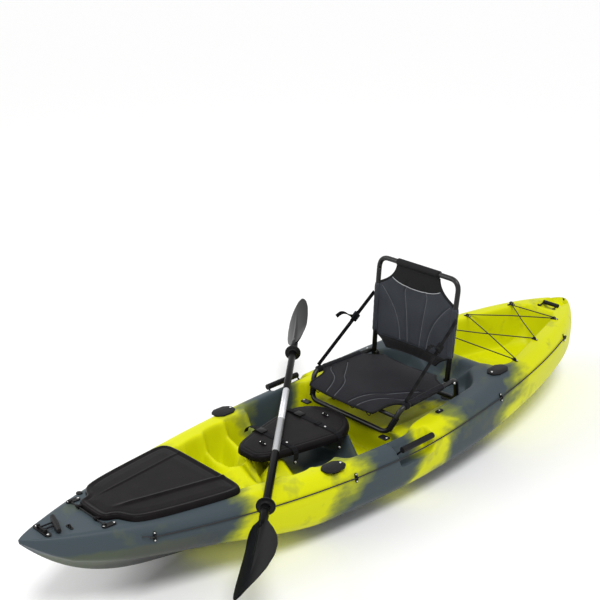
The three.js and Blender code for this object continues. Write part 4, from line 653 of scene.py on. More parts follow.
def dress(node, finish, edge=0.0007, sharp=50):
    """A merged copy of a solid with its sharp edges broken, standing for the solid."""
    mesh = frame["nodes"][node].data.copy()
    mesh.name = f"{node}_moulding"
    shape = bmesh.new()
    shape.from_mesh(mesh)
    bmesh.ops.remove_doubles(shape, verts=shape.verts, dist=2e-6)
    bmesh.ops.dissolve_limit(shape, angle_limit=math.radians(2), verts=shape.verts, edges=shape.edges)
    for seam in shape.edges:
        seam.smooth = len(seam.link_faces) < 2 or seam.calc_face_angle(0) < math.radians(sharp)
    shape.to_mesh(mesh)
    shape.free()
    mesh.materials.clear()
    piece = put(f"{node}_moulding", mesh, finish, frame["nodes"][node]["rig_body"], [node])
    broken = piece.modifiers.new("broken edges", "BEVEL")
    broken.width = edge
    broken.segments = 2
    broken.limit_method = "ANGLE"
    broken.angle_limit = math.radians(sharp)
    broken.harden_normals = True


def frame_of(normal, along):
    """A turn whose Z is a normal and whose X is as near as it can be to a direction."""
    z = unit(np.array(normal, float))
    y = unit(np.cross(z, along))
    return np.stack([np.cross(y, z), y, z], axis=1)


def screw(at, normal, radius=0.0035, height=0.0018):
    """A pan head: rings that close in over a quarter turn, with a shallow dimple for the driver."""
    profile = [(0.9, -0.6), (1, 0), (1, 0.35), (0.9, 0.7), (0.7, 0.95), (0.45, 1), (0.3, 0.95)]
    profile += [(0.2, 0.5), (0.02, 0.5)]
    angle = circle(12)
    ring = np.stack([np.cos(angle), np.sin(angle), angle * 0], 1)
    rows = np.array([ring * share * radius + (0, 0, up * height) for share, up in profile])
    return shell(rows @ frame_of(normal, (0.9, 0.1, 0.42)).T + np.array(at, float))


for word in sides:
    for place in ("stern", "aft", "fore", "bow"):
        dress(f"side_line_eye_{place}_{word}", nylon)
    for place in ("stern", "middle", "front"):
        dress(f"tank_eye_{place}_{word}", nylon)
    dress(f"hatch_bungee_eye_{word}", nylon)
    dress(f"hatch_hinge_pad_{word}", nylon, 0.0012)
for name in ("bow_pad_eye", "lid_eye_aft", "lid_eye_fore"):
    dress(name, nylon)
dress("bow_handle_base", nylon, 0.0012)
dress("hatch_hinge_rod", nylon, 0.0003)
for word in ("aft", "fore"):
    dress(f"lid_buckle_{word}", nylon, 0.001)

# Each pad eye has a screw on both sides of its hole; hinge pads, handle base and rod caps have their own.
eye_screw, eye_top = 0.0135, 0.0033
hull_screws = []
for side in sides.values():
    for x in side_eyes:
        at, along, out = flank_frame(x, side)
        for reach in (-eye_screw, eye_screw):
            hull_screws.append(screw(at + out * eye_top + np.cross(out, along) * reach, out, 0.0034))
    heads = [
        (1.219, 0.112, 0.0053, 0.0042, 0.0018), (1.261, 0.112, 0.0053, 0.0042, 0.0018),
        (1.435, 0.0375, 0.0053, 0.0048, 0.0018), (-0.639, 0.266, 0.009, 0.0052, 0.0022),
        (0.337, 0.326, 0.009, 0.0052, 0.0022),
    ]
    for x, y in ((-0.8019, 0.2619), (-1.0279, 0.1969), (-1.2720, 0.1270)):
        heads += [(x, y + reach, eye_top, 0.0034, 0.0018) for reach in (-eye_screw, eye_screw)]
    for x, y, lift, radius, height in heads:
        at, normal = deck_frame(x, side * y)
        hull_screws.append(screw(at + normal * lift, normal, radius, height))
make("hull_screws", hull_screws, steel, "hull")

# Plugs, caps and grips: moulded rubber, each pushed, screwed or swung in its seat.
# They too keep their solids' shapes, with softer edges.
rubber = grained("black rubber", "black_rubber", 0.5, 0.14, black, 600, 0.35, 0.0004, 3)
for row in ("rear", "front"):
    for word in sides:
        dress(f"rod_cap_{row}_{word}", rubber, 0.0016, 40)
dress("drain_plug", rubber, 0.001)
for word in sides:
    dress(f"scupper_plug_{word}", rubber, 0.001)
    dress(f"side_handle_{word}", rubber, 0.002, 55)
dress("bow_handle", rubber, 0.0012, 55)
dress("stern_handle", rubber, 0.0015, 55)

# Bow hatch: one moulded lid of black polyethylene with a rolled rim, two raised ribs that spread
# towards the paddler, a skirt over the step and a hook. It turns on lugs round the hinge rod.
hatch_shares = [
    [0, 0], [0, 0.761], [0.025, 0.926], [0.089, 1], [0.33, 0.914], [0.639, 0.782], [0.79, 0.683],
    [0.844, 0.61], [0.876, 0.494], [0.9, 0.379], [0.972, 0.337], [0.994, 0.247], [1, 0.165], [1, 0],
]
hatch_aft, hatch_fore, hatch_half = 0.729, 1.247, 0.243
hatch_outline = softened(outline(hatch_shares, hatch_aft, hatch_fore, hatch_half), 3)


def half_width(points, x):
    """Half the width of a closed outline at each x, from its port edge."""
    port = points[points[:, 1] >= -1e-9]
    port = port[np.argsort(port[:, 0], kind="stable")]
    return np.interp(x, port[:, 0], port[:, 1])


def sine_spaced(count):
    """Places from -1 to 1 that crowd together towards both ends."""
    return np.sin(np.linspace(-math.pi / 2, math.pi / 2, count))


def lid_skin(points, base, rise, rim, ply, hollow_start, hollow_width, count):
    """A lid over an outline: sine-spaced rows along it and columns across it. Its top stands a rise above
    a base, and its underside is a rim with a hollow inside it that follows the top at a ply's distance."""
    low, high = points[:, 0].min(), points[:, 0].max()
    x = (low + high) / 2 - np.cos(np.linspace(0, math.pi, count)) * (high - low) / 2
    x[0], x[-1] = x[0] + 1e-5, x[-1] - 1e-5
    y = half_width(points, x)[:, None] * sine_spaced(count)
    x = np.repeat(x[:, None], count, axis=1)
    inside = np.maximum(depth_inside(points, x, y), 0)
    base, risen = base(x), rise(x, y, inside)
    hollow = rim + (risen - ply) * slope(inside - hollow_start, hollow_width, 0.002)
    upper, lower = np.stack([x, y, base + risen], -1), np.stack([x, y, base + hollow], -1)
    return shell(np.concatenate([upper, lower[:, ::-1]], axis=1))


def hatch_rise(x, y, inside):
    """Its wall, rolled rim and panels by the distance in from the edge, plus each rib's rounded ridge."""
    rise = np.interp(inside, (0, 0.0012, 0.005, 0.009, 0.014, 0.020, 0.027, 0.034, 0.06),
                     (0.0010, 0.0090, 0.0165, 0.0193, 0.0202, 0.0182, 0.0166, 0.0176, 0.0190))
    line = y + 0.010
    middle = 0.059 + (1.140 - x) * 0.181
    fade = eased(1.19, 1.09, x) * eased(0, 0.02, inside)
    bead = 0.0075 * np.exp(-((line - middle) / 0.0095) ** 2) * fade
    crease = 0.0020 * np.exp(-((line + middle) / 0.0035) ** 2) * fade
    between = eased(0.006, -0.006, np.abs(line) - middle) * eased(1.19, 1.05, x) * eased(0.01, 0.03, inside)
    return rise + bead + crease - 0.0022 * between


def slab(centre, size, edge, turn=np.eye(3), corner=0.3):
    """A block with soft edges: a rounded outline carried from end to end, drawn in at both ends."""
    half = np.array(size) / 2
    radius = corner * min(half[:2])
    angle = np.linspace(0, math.pi / 2, 5) + np.arange(4)[:, None] * math.pi / 2
    quarter = np.array([(1, 1), (-1, 1), (-1, -1), (1, -1)])[:, None] * (half[:2] - radius)
    ring = (quarter + radius * np.stack([np.cos(angle), np.sin(angle)], -1)).reshape(-1, 2)
    draw = edge / half[2]
    levels = [(-1, 1), (-1 + 0.3 * draw, 0.35), (-1 + draw, 0), (1 - draw, 0), (1 - 0.3 * draw, 0.35), (1, 1)]
    rows = [
        np.column_stack([ring * (1 - inset * edge / half[:2]), np.full(len(ring), height * half[2])])
        for height, inset in levels
    ]
    return shell(np.array(rows) @ turn.T + np.array(centre))


moulded_black = Finish("moulded black polyethylene", "black_plastic", 0.5, 0.05)
moulded_black.bump(moulded_black.pattern("TexNoise", Scale=520, Detail=3, Roughness=0.6), 0.3, 0.0005)
scuff = moulded_black.pattern("TexNoise", Scale=14, Detail=6, Roughness=0.7)
moulded_black.tones(scuff, (0.0066, 0.0056, 0.0060), (0.0112, 0.0098, 0.0102), (0.35, 0.75))
gloss = moulded_black.add("MapRange", **{"Value": scuff, "To Min": 0.26, "To Max": 0.4})
moulded_black.fill(moulded_black.shader["Roughness"], gloss.outputs["Result"])

hinge_x, hinge_z, hook_z = 1.256, 0.34173, 0.286
skirt_low, skirt_top = 0.255, sheer_at(np.array([hatch_aft]))[0] + 0.009
hatch_skins = [
    lid_skin(hatch_outline, sheer_at, hatch_rise, 0.0006, 0.0046, 0.026, 0.006, 150),
    slab((hatch_aft + 0.003, 0, (skirt_low + skirt_top) / 2), (0.006, 0.360, skirt_top - skirt_low), 0.0015),
    sweep([(0.713, 0, hook_z), (0.732, 0, hook_z)], 0.004),
    slab((0.7115, 0, hook_z), (0.016, 0.016, 0.003), 0.0008, frame_of((1, 0, 0), (0, 1, 0)), 1.0),
]
for y in (0.055, -0.055):
    hatch_skins.append(sweep([(hinge_x, y - 0.008, hinge_z), (hinge_x, y + 0.008, hinge_z)], 0.0062, 16))
    hatch_skins.append(slab((hinge_x - 0.010, y, hinge_z - 0.0005), (0.018, 0.015, 0.006), 0.001))
make("hatch_moulding", hatch_skins, moulded_black, "bow_hatch", "bow_hatch_cover")

# Console lid: a shallow moulded lid on the pedestal, with a raised flat top inside its rounded edge.
# Two webbing straps with buckles hold it down, screwed to the pedestal's flanks.
lid_edge = softened(lid_outline)


def lid_rise(x, y, inside):
    """Its wall, its rounded shoulder and a slightly raised, flat field inside a shallow groove."""
    return np.interp(inside, (0, 0.0012, 0.0020, 0.005, 0.009, 0.014, 0.020, 0.023, 0.027, 0.05),
                     (0.0005, 0.0120, 0.0155, 0.0212, 0.0243, 0.0256, 0.0259, 0.0252, 0.0266, 0.0272))


lid_skins = [lid_skin(lid_edge, lambda x: pedestal_top, lid_rise, 0.0004, 0.0055, 0.029, 0.005, 110)]
make("lid_moulding", lid_skins, moulded_black, "console_lid", "console_lid")

webbing = Finish("black webbing", "black_webbing", 0.75, 0.08)
webbing.shader["Sheen Weight"].default_value = 0.02
ribs = [webbing.pattern("TexWave", bands_direction=axis, Scale=140, Distortion=0.4) for axis in "XYZ"]
weave = webbing.work("MULTIPLY", webbing.work("ADD", ribs[0], ribs[2]), ribs[1])
webbing.tones(weave, (0.004, 0.004, 0.005), (0.013, 0.013, 0.015))
webbing.bump(weave, 0.5, 0.0005)


def ribbon(path, across, width, thickness=0.0016):
    """Webbing: a thin rounded section, carried along a path with its width in a given direction."""
    path = np.asarray(path, float)
    across = np.broadcast_to(across, path.shape)
    up = unit(np.cross(np.gradient(path, axis=0), across)) * thickness
    across = unit(across) * np.broadcast_to(np.asarray(width) / 2, len(path))[:, None]
    port = [(1, -0.2), (1, 0.2), (0.94, 0.5), (-0.94, 0.5)]
    ring = port + [(-a, -b) for a, b in port]
    return shell(np.stack([path + across * a + up * b for a, b in ring], axis=1))


lid_screws = []
strap_wide, strap_top = 0.025, pedestal_top + 0.0302
for word, x in (("aft", 0.175), ("fore", 0.380)):
    half = half_width(lid_edge, np.array([x - strap_wide / 2, x + strap_wide / 2])).max()
    y = np.linspace(-half, half, 61)
    inside = depth_inside(lid_edge, np.full(61, x), y)
    over_lid = pedestal_top + lid_rise(x, y, inside) + 0.0014
    over_lid = np.stack([np.full(61, x), y, over_lid], 1)[2:-2]
    down = np.array([(0, 0.0014, 0.285), (0, 0.0014, 0.256), (0, -0.003, 0.246), (0, -0.0045, 0.231)])
    down = down + (x, half, 0)
    route = flowing(np.vstack([down[::-1] * (1, -1, 1), over_lid, down]), 3)
    drops = [(0, -0.060, 0.002), (0.001, -0.100, 0.004), (0.002, -0.125, 0.001), (0.004, -0.148, -0.004),
             (0.006, -0.163, -0.018), (0.007, -0.168, -0.034)]
    keeper = [(x, 0.020, strap_top), (x, 0.030, strap_top + 0.002), (x, 0.046, strap_top)]
    skins = [
        ribbon(route, (1, 0, 0), np.interp(route[:, 2], (0.246, 0.252), (0.018, strap_wide))),
        ribbon(flowing(np.array(drops) + (x, 0, strap_top), 5), (1, 0.03, 0), 0.022),
        ribbon(flowing(keeper, 4), (1, 0, 0), strap_wide),
    ]
    make(f"lid_webbing_{word}", skins, webbing, "console_lid", f"lid_strap_{word}")
    for side in (1, -1):
        lid_screws.append(screw((x, side * (half - 0.0030), 0.2390), (0, side, 0.3), 0.0055, 0.0025))
buckle_top, lid_eye_top = 0.3015, 0.3031
heads = [(0.175, 0.074, buckle_top, 0.005), (0.372, 0.062, buckle_top, 0.005)]
heads += [(x, reach, lid_eye_top, 0.003) for x in (0.103, 0.443) for reach in (-eye_screw, eye_screw)]
for x, y, z, radius in heads:
    lid_screws.append(screw((x, y, z), (0, 0, 1), radius))
make("lid_screws", lid_screws, steel, "console_lid")

# Seat base: round steel tube in black powder coat, bent into one closed loop with a tie bar at the front.
# Pivot bolts carry the backrest, and webbing wraps the two front posts.
powder_coat = grained("black powder coat", "black_tube", 0.3, 0.3, (0.009, 0.009, 0.010), 700, 0.2, 0.0003)
tube, foot_z, rail_z = 0.011, 0.2493, 0.356
rail_rear, rail_front = (-0.438, 0.234), (-0.078, 0.255)
pivot_x, pivot_z, foot_x = -0.405, 0.355, -0.004


def bent(corners, reach, steps):
    """A path through corners, each rounded by a quadratic curve that starts a reach before it."""
    corners = np.asarray(corners, float)
    points = [corners[:1]]
    t = np.linspace(0, 1, steps + 1)[:, None]
    for before, corner, after in zip(corners, corners[1:], corners[2:]):
        back, ahead = before - corner, after - corner
        long_back, long_ahead = np.linalg.norm(back), np.linalg.norm(ahead)
        cut = min(reach, long_back / 2, long_ahead / 2)
        start, end = corner + back * cut / long_back, corner + ahead * cut / long_ahead
        points.append(start * (1 - t) ** 2 + corner * 2 * t * (1 - t) + end * t ** 2)
    points.append(corners[-1:])
    return np.vstack(points)


port = [(-0.460, 0.220, foot_z), (*rail_rear, rail_z), (*rail_front, rail_z), (-0.030, 0.220, foot_z)]
loop = np.array(port + [(x, -y, z) for x, y, z in port[::-1]])
middle = (loop[0] + loop[-1]) / 2
base_skins = [
    sweep(bent(np.vstack([middle, loop, middle]), 0.034, 9), tube, 20),
    sweep([(-0.059, -0.243, 0.318), (-0.059, 0.243, 0.318)], 0.008, 16),
]
pad_skins, pad_screws, wrap_skins = [], [], []
for side in (1, -1):
    outer, inner = side * 0.2513, side * 0.1966
    base_skins.append(sweep([(pivot_x, outer, pivot_z), (pivot_x, inner, pivot_z)], 0.004))
    for y in (outer - side * 0.003, inner + side * 0.003):
        crosswise = frame_of((0, 1, 0), (1, 0, 0))
        base_skins.append(slab((pivot_x, y, pivot_z), (0.015, 0.015, 0.005), 0.001, crosswise, 0.8))
    base_skins.append(slab((foot_x, side * 0.230, 0.2425), (0.030, 0.044, 0.006), 0.0015))
    at, normal = deck_frame(-0.245, side * 0.312)
    turn = frame_of(normal, (1, 0, 0))
    pad_skins.append(slab(at + normal * 0.0035, (0.034, 0.020, 0.007), 0.002, turn, 0.5))
    pad_screws.append(screw(at + normal * 0.0072, normal, 0.0036))
    low, high = np.array([-0.036, side * 0.2245, 0.262]), np.array([-0.062, side * 0.2435, 0.316])
    for turn in range(7):
        at, lean = low + (high - low) * (turn + 0.5) / 7, unit(high - low)
        wound = [at - lean * 0.0042, at + lean * 0.0030, at + lean * 0.0042]
        wrap_skins.append(sweep(wound, [0.0122, 0.0132, 0.0122], 18))
make("seat_tube", base_skins, powder_coat, "seat", "seat_base_frame")
make("deck_pads", pad_skins, nylon, "hull")
make("deck_pad_screws", pad_screws, steel, "hull")
make("post_wraps", wrap_skins, webbing, "seat")

# Seat pan: a coarse black polyester mesh over thin foam, edged with black tape, sewn in fans of curved
# seams and stretched between the rails. Four loops of lacing hang from its front edge.
def mesh_cloth(name, low, high, one, two):
    """An open plain weave: threads as two trains of waves at right angles, their crests lighter as a painted
    highlight.
    """
    cloth = Finish(name, "seat_mesh", 0.6, 0.12)
    threads = [cloth.pattern("TexWave", bands_direction=way, Scale=90, Distortion=0.3) for way in (one, two)]
    both = cloth.work("MULTIPLY", *threads)
    fade = cloth.pattern("TexNoise", Scale=6, Detail=5, Roughness=0.6)
    # The threads' crests are painted lighter, a painted highlight on the raised weave; the broad noise only
    # varies the tone at random.
    cloth.tones(cloth.work("MULTIPLY_ADD", fade, 0.5, both), low, high, (0.2, 1.1 / 1.2))
    cloth.bump(both, 0.7, 0.0008)
    cloth.shader["Sheen Weight"].default_value = 0.03
    cloth.shader["Sheen Roughness"].default_value = 0.4
    return cloth


pan_finish = mesh_cloth("seat mesh", (0.004, 0.004, 0.0055), (0.021, 0.021, 0.027), "X", "Y")
tape = Finish("black edging tape", "black_webbing", 0.7, 0.18, (0.006, 0.006, 0.007))
tape.bump(tape.pattern("TexWave", bands_direction="DIAGONAL", Scale=160), 0.4, 0.0004)
thread = Finish("grey seam thread", "seat_mesh", 0.7)
thread.tones(thread.pattern("TexNoise", Scale=500, Detail=2), (0.07, 0.073, 0.082), (0.24, 0.25, 0.27))


def eased_table(table, at, blur=0.018):
    """A table read with a smooth curve: linear steps blurred over a short window."""
    shifts = np.linspace(-blur, blur, 9)
    return np.mean([np.interp(at + shift, *np.transpose(table)) for shift in shifts], axis=0)


def rail_y(x):
    """The rail's distance from the middle: a straight line between its two bends."""
    return np.interp(x, *zip(rail_rear, rail_front))


pan_rear, pan_front = -0.402, 0.015
pan_widths = [
    [0, 0.64], [0.04, 0.70], [0.08, 0.78], [0.115, 0.90], [0.135, 0.985], [0.16, 1], [0.655, 1],
    [0.675, 0.955], [0.70, 0.885], [0.74, 0.82], [0.80, 0.775], [0.88, 0.755], [0.95, 0.745], [0.985, 0.73],
    [1, 0.69],
]


def pan_middle(along, across):
    """The sling's middle surface: it sags between the rails and rolls down at its front edge."""
    x = pan_rear + along * (pan_front - pan_rear)
    half = eased_table(pan_widths, along) * rail_y(x)
    sag = 0.009 * (1 - across ** 2)
    roll = 0.009 * np.clip((along - 0.75) / 0.25, 0, None) ** 2
    lip = 0.004 * np.clip((along - 0.95) / 0.05, 0, None) ** 2
    return np.stack([x, across * half, rail_z - sag - roll - lip], -1)


def pan_seams(along):
    """How far across the pan each sewn fan line lies: close together in front, spreading to the rear."""
    rear = np.clip(1 - along, 0, None)
    return 0.22 + 0.66 * (rear / 0.62) ** 1.5, 0.48 + 0.46 * (rear / 0.42) ** 1.5


def padding(along, across, seams, edge_rise, crown_rise, groove=0):
    """Thin taped edges, a low crown between them, and a groove at each seam as far as it runs."""
    crown = (1 - (2 * along - 1) ** 4) * (1 - across ** 4)
    for line, sewn in seams:
        groove = groove + np.exp(-((np.abs(across) - line) / 0.030) ** 2) * sewn
    edge = 0.0035 + edge_rise * np.minimum(1, (1 - np.abs(across)) * 14) ** 0.5
    return (edge + crown_rise * crown) * (1 - 0.42 * np.clip(groove, 0, 1))


def pan_thickness(along, across):
    """The pan's padding, with two seams a side that start behind its rear edge."""
    sewn = [eased(start - 0.03, start + 0.03, along) for start in (0.38, 0.58)]
    return padding(along, across, zip(pan_seams(along), sewn), 0.0055, 0.013)


def quilt(middle, thickness, rows=170, columns=150):
    """A pad about a middle surface: half its thickness to each side along the surface's normal."""
    along, across = np.meshgrid(np.linspace(0, 1, rows), sine_spaced(columns), indexing="ij")
    grid = middle(along, across)
    swell = unit(np.cross(np.gradient(grid, axis=0), np.gradient(grid, axis=1)))
    swell = swell * thickness(along, across)[..., None] / 2
    return shell(np.concatenate([grid + swell, (grid - swell)[:, ::-1]], axis=1))


def sleeve(points, beat):
    """A sewn sleeve round a tube: a little wavy, and drawn in at both of its ends."""
    thick = 0.0143 + 0.0004 * np.sin(np.arange(24) * beat)
    thick[[0, -1]] = 0.0122
    return sweep(points, thick, 24)


def raised(middle, thickness, along, across, out, face=1):
    """Points on a pad's face, a little proud of it."""
    along, across = np.broadcast_arrays(np.asarray(along, float), np.asarray(across, float))
    step = 1e-3
    ahead = middle(along + step, across) - middle(along - step, across)
    aside = middle(along, across + step) - middle(along, across - step)
    lift = thickness(along, across) / 2 + out
    return middle(along, across) + unit(np.cross(ahead, aside)) * lift[..., None] * face


def sewn_lines(middle, thickness, lines, spans, count, radius, face=1):
    """The threads of a pad's seams: each line between two places, on both of its halves."""
    skins = []
    for side in (1, -1):
        for index, (start, end) in enumerate(spans):
            along = np.linspace(start, end, count)
            seam = raised(middle, thickness, along, side * lines(along)[index], 0, face)
            skins.append(sweep(seam, radius, 6))
    return skins


def taped(middle, spans):
    """Tape rolled along the parts of a pad's side edges that aren't on a tube."""
    edges = [(along, side + along * 0, radius) for side in (1, -1) for along, radius in spans]
    return [sweep(flowing(middle(along, across), 3), radius, 10) for along, across, radius in edges]


pan_skins = [quilt(pan_middle, pan_thickness)]
xs = np.linspace(-0.345, -0.128, 24)
for side in (1, -1):
    pan_skins.append(sleeve(np.stack([xs, side * rail_y(xs), np.full(24, rail_z)], 1), 2.1))
pan = make("pan_cloth", pan_skins, pan_finish, "seat", "seat_pan")
fans = sewn_lines(pan_middle, pan_thickness, pan_seams, ((0.40, 0.985), (0.60, 0.985)), 50, 0.0011)
make("pan_seams", fans, thread, "seat")

rear_edge, front_edge = np.append(np.linspace(0, 0.12, 12), 0.135), np.linspace(0.665, 1, 34)
tape_skins = taped(pan_middle, ((rear_edge, 0.0056), (front_edge, 0.0062)))
across = np.linspace(-1, 1, 40)
for along in (0, 1):
    tape_skins.append(sweep(pan_middle(along + across * 0, across), 0.0045, 10))
for y in (-0.150, -0.055, 0.055, 0.150):
    hang = np.array([(0, -12, 0), (-2, -10, -18), (-4, 0, -26), (-2, 10, -18), (0, 12, 0)]) / 1000
    tape_skins.append(sweep(flowing(hang + (0.006, y, 0.342), 4), 0.0018, 8))
make("pan_edging", tape_skins, tape, "seat")

# Backrest: an arch of the same tube on the seat's pivot bolts, with the panel's sleeves round its posts.
# The panel is grey mesh below and a black head panel above, with pale piping where they are joined.
back_finish = mesh_cloth("back mesh", (0.016, 0.018, 0.023), (0.076, 0.084, 0.102), "Y", "Z")
arch_x, arch_z = -0.456, 0.791
back_corners = [(-0.403, 0.2123, 0.338), (-0.441, 0.222, 0.690), (arch_x, 0.224, arch_z)]
arch = bent(back_corners + [(x, -y, z) for x, y, z in back_corners[::-1]], 0.066, 12)
make("back_tube", [sweep(arch, tube, 20)], powder_coat, "backrest", "back_frame")
panel_low, panel_high = 0.400, 0.786
panel_widths = [
    [0, 0.66], [0.04, 0.72], [0.08, 0.80], [0.11, 0.90], [0.13, 0.985], [0.15, 1], [0.70, 1], [0.715, 0.975],
    [0.735, 0.91], [0.76, 0.82], [0.80, 0.71], [0.85, 0.615], [0.90, 0.555], [0.95, 0.525], [1, 0.52],
]


def post_at(z):
    """The post's x and y at a height: two straight runs that meet at the knee."""
    xs, ys, zs = np.transpose(back_corners)
    return np.interp(z, zs, xs), np.interp(z, zs, ys)


def back_middle(along, across):
    """The panel's middle surface: bowed backwards between the posts, and flat at its top edge."""
    z = panel_low + along * (panel_high - panel_low)
    x, y = post_at(z)
    bulge = 0.016 * (1 - across ** 2) * np.clip(1 - along ** 2, 0, None)
    return np.stack([x - bulge, across * y * eased_table(panel_widths, along), z], -1)


def back_seams(along):
    """How far across the panel each sewn line lies: near its middle below, spreading to the corners."""
    above = np.clip(along - 0.10, 0, None)
    return 0.36 + 0.56 * (above / 0.62) ** 2.2, 0.16 + 0.16 * (above / 0.72) ** 1.4


def back_thickness(along, across):
    """The panel's padding, with two seams a side and a groove across it near its foot."""
    sewn = [eased(end + 0.02, end - 0.02, along) for end in (0.70, 0.84)]
    across_foot = np.exp(-((along - 0.115) / 0.014) ** 2)
    return padding(along, across, zip(back_seams(along), sewn), 0.0050, 0.011, across_foot)


def head_line(across):
    """Where the black head panel is sewn on: a curve that dips in the middle of the backrest."""
    return 0.845 - 0.075 * (1 - np.clip(np.abs(across), 0, 1) ** 2)


def overlay(low, high):
    """A thin second layer on the panel's face and back, between two heights, closed round its edges."""
    share, across = np.meshgrid(np.linspace(0, 1, 26), sine_spaced(60), indexing="ij")
    along = low(across) + (high(across) - low(across)) * share
    faces = [raised(back_middle, back_thickness, along, across, 0.0012, face) for face in (1, -1)]
    return shell(np.concatenate([faces[0], faces[1][:, ::-1]], axis=1))


panel_skins = [quilt(back_middle, back_thickness)]
zs = np.linspace(0.455, 0.672, 24)
for side in (1, -1):
    xs, ys = post_at(zs)
    panel_skins.append(sleeve(np.stack([xs, side * ys, zs], 1), 1.9))
panel = make("back_cloth", panel_skins, back_finish, "backrest", "back_panel")

over_arch = np.linspace((arch_x, -0.116, arch_z), (arch_x, 0.116, arch_z), 30)
trim_skins = [
    overlay(head_line, lambda across: 0.985 + across * 0),
    overlay(lambda across: 0.004 + across * 0, lambda across: 0.112 + across * 0),
    sweep(over_arch, 0.0158, 24),
    sweep(back_middle(across * 0, across), 0.0045, 10),
]
low_edge, high_edge = np.linspace(0, 0.135, 14), np.linspace(0.70, 0.97, 34)
trim_skins += taped(back_middle, ((low_edge, 0.0048), (high_edge, 0.0062)))
make("back_trim", trim_skins, tape, "backrest")
fans = sewn_lines(back_middle, back_thickness, back_seams, ((0.125, 0.70), (0.125, 0.80)), 60, 0.0012, -1)
make("back_seams", fans, thread, "backrest")

piping = Finish("pale piping", "black_webbing")
twist = piping.pattern("TexWave", bands_direction="Y", Scale=120)
piping.tones(twist, (0.30, 0.31, 0.33), (0.55, 0.56, 0.58))
across = np.linspace(-0.93, 0.93, 50)
face = raised(back_middle, back_thickness, head_line(across) - 0.006, across, 0.0010, -1)
make("head_piping", [sweep(face, 0.0016, 8)], piping, "backrest")

# Recline straps: webbing from the backrest's posts to the front of the rails, each with a cam buckle
# and a loose tail. They cross the backrest's pivot, so they are attached to neither body.
strap_wide, strap_ply = 0.022, 0.0022
for word, side in sides.items():
    top = np.array([-0.430, side * 0.2358, 0.628])
    foot = np.array([-0.118, side * 0.254, 0.388])
    down = foot - top
    buckle = top + down * 0.36
    flat = np.cross(unit(down), (0, 1, 0))
    share = np.linspace(0, 1, 40)[:, None]
    loop_x = np.array([-0.120, -0.117, -0.096, -0.093])
    loop = np.stack([loop_x, side * rail_y(loop_x), np.full(4, rail_z)], 1)
    turn = np.stack([unit(flat), unit(np.cross(unit(down), flat)), unit(down)], axis=1)
    tail = np.array([(0, 6, 0), (26, 8, 10), (50, 11, 28), (74, 14, 34), (98, 18, 24)]) / 1000
    skins = [
        ribbon(top + down * share * 1.055, flat, strap_wide),
        sweep(loop, [0.0128, 0.0150, 0.0150, 0.0128], 20),
        ribbon(top + down * (0.30 + share[:14] * 0.4) + (0, side * strap_ply, 0), flat, strap_wide),
        slab(buckle, (0.034, 0.014, 0.036), 0.002, turn, 0.4),
        ribbon(flowing(buckle + tail * (1, side, 1), 5), flat * (1, 0.4, 1), strap_wide),
    ]
    strap = make(f"recline_webbing_{word}", skins, webbing, None, f"recline_strap_{word}")
    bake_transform(strap)
bolts = []
for side in (1, -1):
    bolts.append(screw((pivot_x, side * 0.2545, pivot_z), (0, side, 0), 0.006, 0.003))
    bolts.append(screw((foot_x, side * 0.244, 0.2458), (0, 0, 1), 0.005, 0.0025))
make("pivot_bolts", bolts, steel, "seat")

# Paddle: two aluminium half shafts that join on a ferrule, black grip sleeves over them, a rubber
# drip ring on each, and moulded blades with a ribbed spine, one turned against the other.
aluminium = Finish("satin aluminium", "silver_tube", 0.38)
brushed = aluminium.pattern("TexNoise", Scale=90, Detail=4, Roughness=0.7)
aluminium.tones(brushed, (0.50, 0.51, 0.53), (0.66, 0.67, 0.69))
aluminium.shader["Metallic"].default_value = 0.55
deep_black = (0.0038, 0.0038, 0.0042)
gloss_black = grained("glossy black plastic", "black_plastic", 0.28, 0.035, deep_black, 60, 0.08, 0.001, 3)
paddle_place = np.array([0.285, -0.068, 0.319609])


def turn_about(axis, angle):
    """A turn by an angle about one of the three axes."""
    return np.array(Matrix.Rotation(angle, 3, axis))


paddle_turn = turn_about("Z", 0.757)


def turned(side, profile, sides=28):
    """A ring or tube turned about the paddle's axis from a closed profile of places and radii."""
    x, radius = np.array(profile + profile[:1], float).T[..., None]
    angle = circle(sides)
    grid = np.stack([side * x + angle * 0, radius * np.cos(angle), radius * np.sin(angle)], -1)
    return shell(grid @ paddle_turn.T + paddle_place, ends=False)


longer = [
    [0, 0.3], [0.05, 0.38], [0.15, 0.43], [0.3, 0.455], [0.5, 0.47], [0.7, 0.46], [0.86, 0.41],
    [0.95, 0.34], [1, 0.25],
]
shorter = [
    [0, 0.1], [0.06, 0.13], [0.13, 0.21], [0.22, 0.32], [0.36, 0.46], [0.5, 0.53], [0.65, 0.52], [0.8, 0.41],
    [0.9, 0.24], [0.96, 0.06], [1, -0.1],
]
blade_start, blade_long, blade_wide = 0.735, 0.465, 0.165


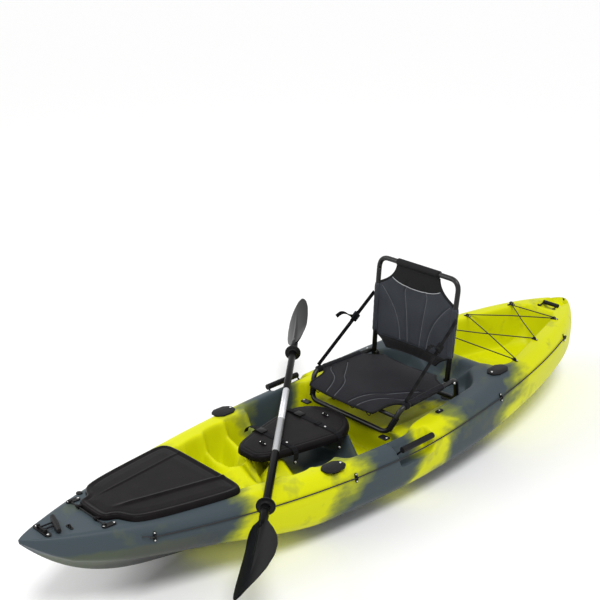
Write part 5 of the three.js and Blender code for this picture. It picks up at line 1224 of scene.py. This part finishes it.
def blade_rings():
    """A blade: two unequal edges from their tables, spooned along its length, with a raised spine that
    runs out three quarters of the way down it, and a thickness that thins to its edges."""
    along = (1 - np.cos(np.linspace(0, math.pi, 90)))[:, None] / 2
    across = sine_spaced(61)
    far, near = (eased_table(edge, along, 0.02) * blade_wide for edge in (longer, shorter))
    y = (far + near) * (across + 1) / 2 - near
    x = blade_start + along * blade_long + across * 0
    spine_wide = np.interp(along, (0, 0.15, 0.75), (0.017, 0.013, 0.004))
    spine = np.interp(along, (0, 0.1, 0.5, 0.8), (0.012, 0.0095, 0.004, 0))
    crest = spine * np.exp(-(y / spine_wide) ** 2)
    flutes = 0.0012 * np.cos(y / 0.0085 * math.pi) * np.exp(-(y / 0.030) ** 2) * eased(0.85, 0.3, along)
    half = 0.0010 + 0.0018 * (1 - across ** 2) * (1 - 0.6 * along)
    middle = -0.026 * along ** 2 + 0.010 * (np.abs(y) / 0.08) ** 2 * eased(0, 0.3, along)
    upper = np.stack([x, y, middle + half + crest + flutes], -1)
    lower = np.stack([x, y, middle - half - crest * 0.8], -1)
    return np.concatenate([upper, lower[:, ::-1]], axis=1)


def pipe(start, end, outer, inner):
    """The profile of a plain tube."""
    return [(start, outer), (end, outer), (end, inner), (start, inner)]


tube_wall, ferrule = pipe(0.00015, 0.770, 0.014, 0.0124), pipe(-0.080, 0.060, 0.0119, 0.0100)
grip = [
    (0.270, 0.0143), (0.270, 0.0152), (0.272, 0.0155), (0.687, 0.0155), (0.689, 0.0152), (0.689, 0.0143),
]
drip_ring = [
    (0.6450, 0.0160), (0.6650, 0.0160), (0.6652, 0.0192), (0.6640, 0.0200), (0.6590, 0.0205), (0.6580, 0.0225),
    (0.6580, 0.0320), (0.6595, 0.0340), (0.6600, 0.0352), (0.6585, 0.0360), (0.6540, 0.0357), (0.6515, 0.0330),
    (0.6515, 0.0225), (0.6505, 0.0205), (0.6460, 0.0200), (0.6448, 0.0192),
]
socket = [
    (0.692, 0.0146), (0.692, 0.0166), (0.694, 0.0172), (0.730, 0.0170), (0.765, 0.0155), (0.800, 0.0120),
    (0.802, 0.0020), (0.780, 0.0020), (0.775, 0.0144),
]
blade = blade_rings()
for word, side, feathered in (("bow", 1, math.pi + 0.698), ("stern", -1, math.pi + 0.908)):
    body = "paddle" if side > 0 else "paddle_stern_half"
    tubes = [turned(side, tube_wall)] + ([turned(1, ferrule)] if side > 0 else [])
    make(f"shaft_tube_{word}", tubes, aluminium, body, f"paddle_shaft_{word}")
    sleeves = [turned(side, grip)]
    make(f"grip_sleeve_{word}", sleeves, gloss_black, body, f"paddle_grip_{word}")
    ring, on_ring = [turned(side, drip_ring)], f"drip_ring_{word}"
    make(f"drip_ring_rubber_{word}", ring, rubber, on_ring, f"drip_ring_{word}")
    spun = blade * (side, side, 1) @ turn_about("X", feathered).T
    skins = [shell(spun @ paddle_turn.T + paddle_place), turned(side, socket)]
    make(f"blade_moulding_{word}", skins, gloss_black, body, f"paddle_blade_{word}")
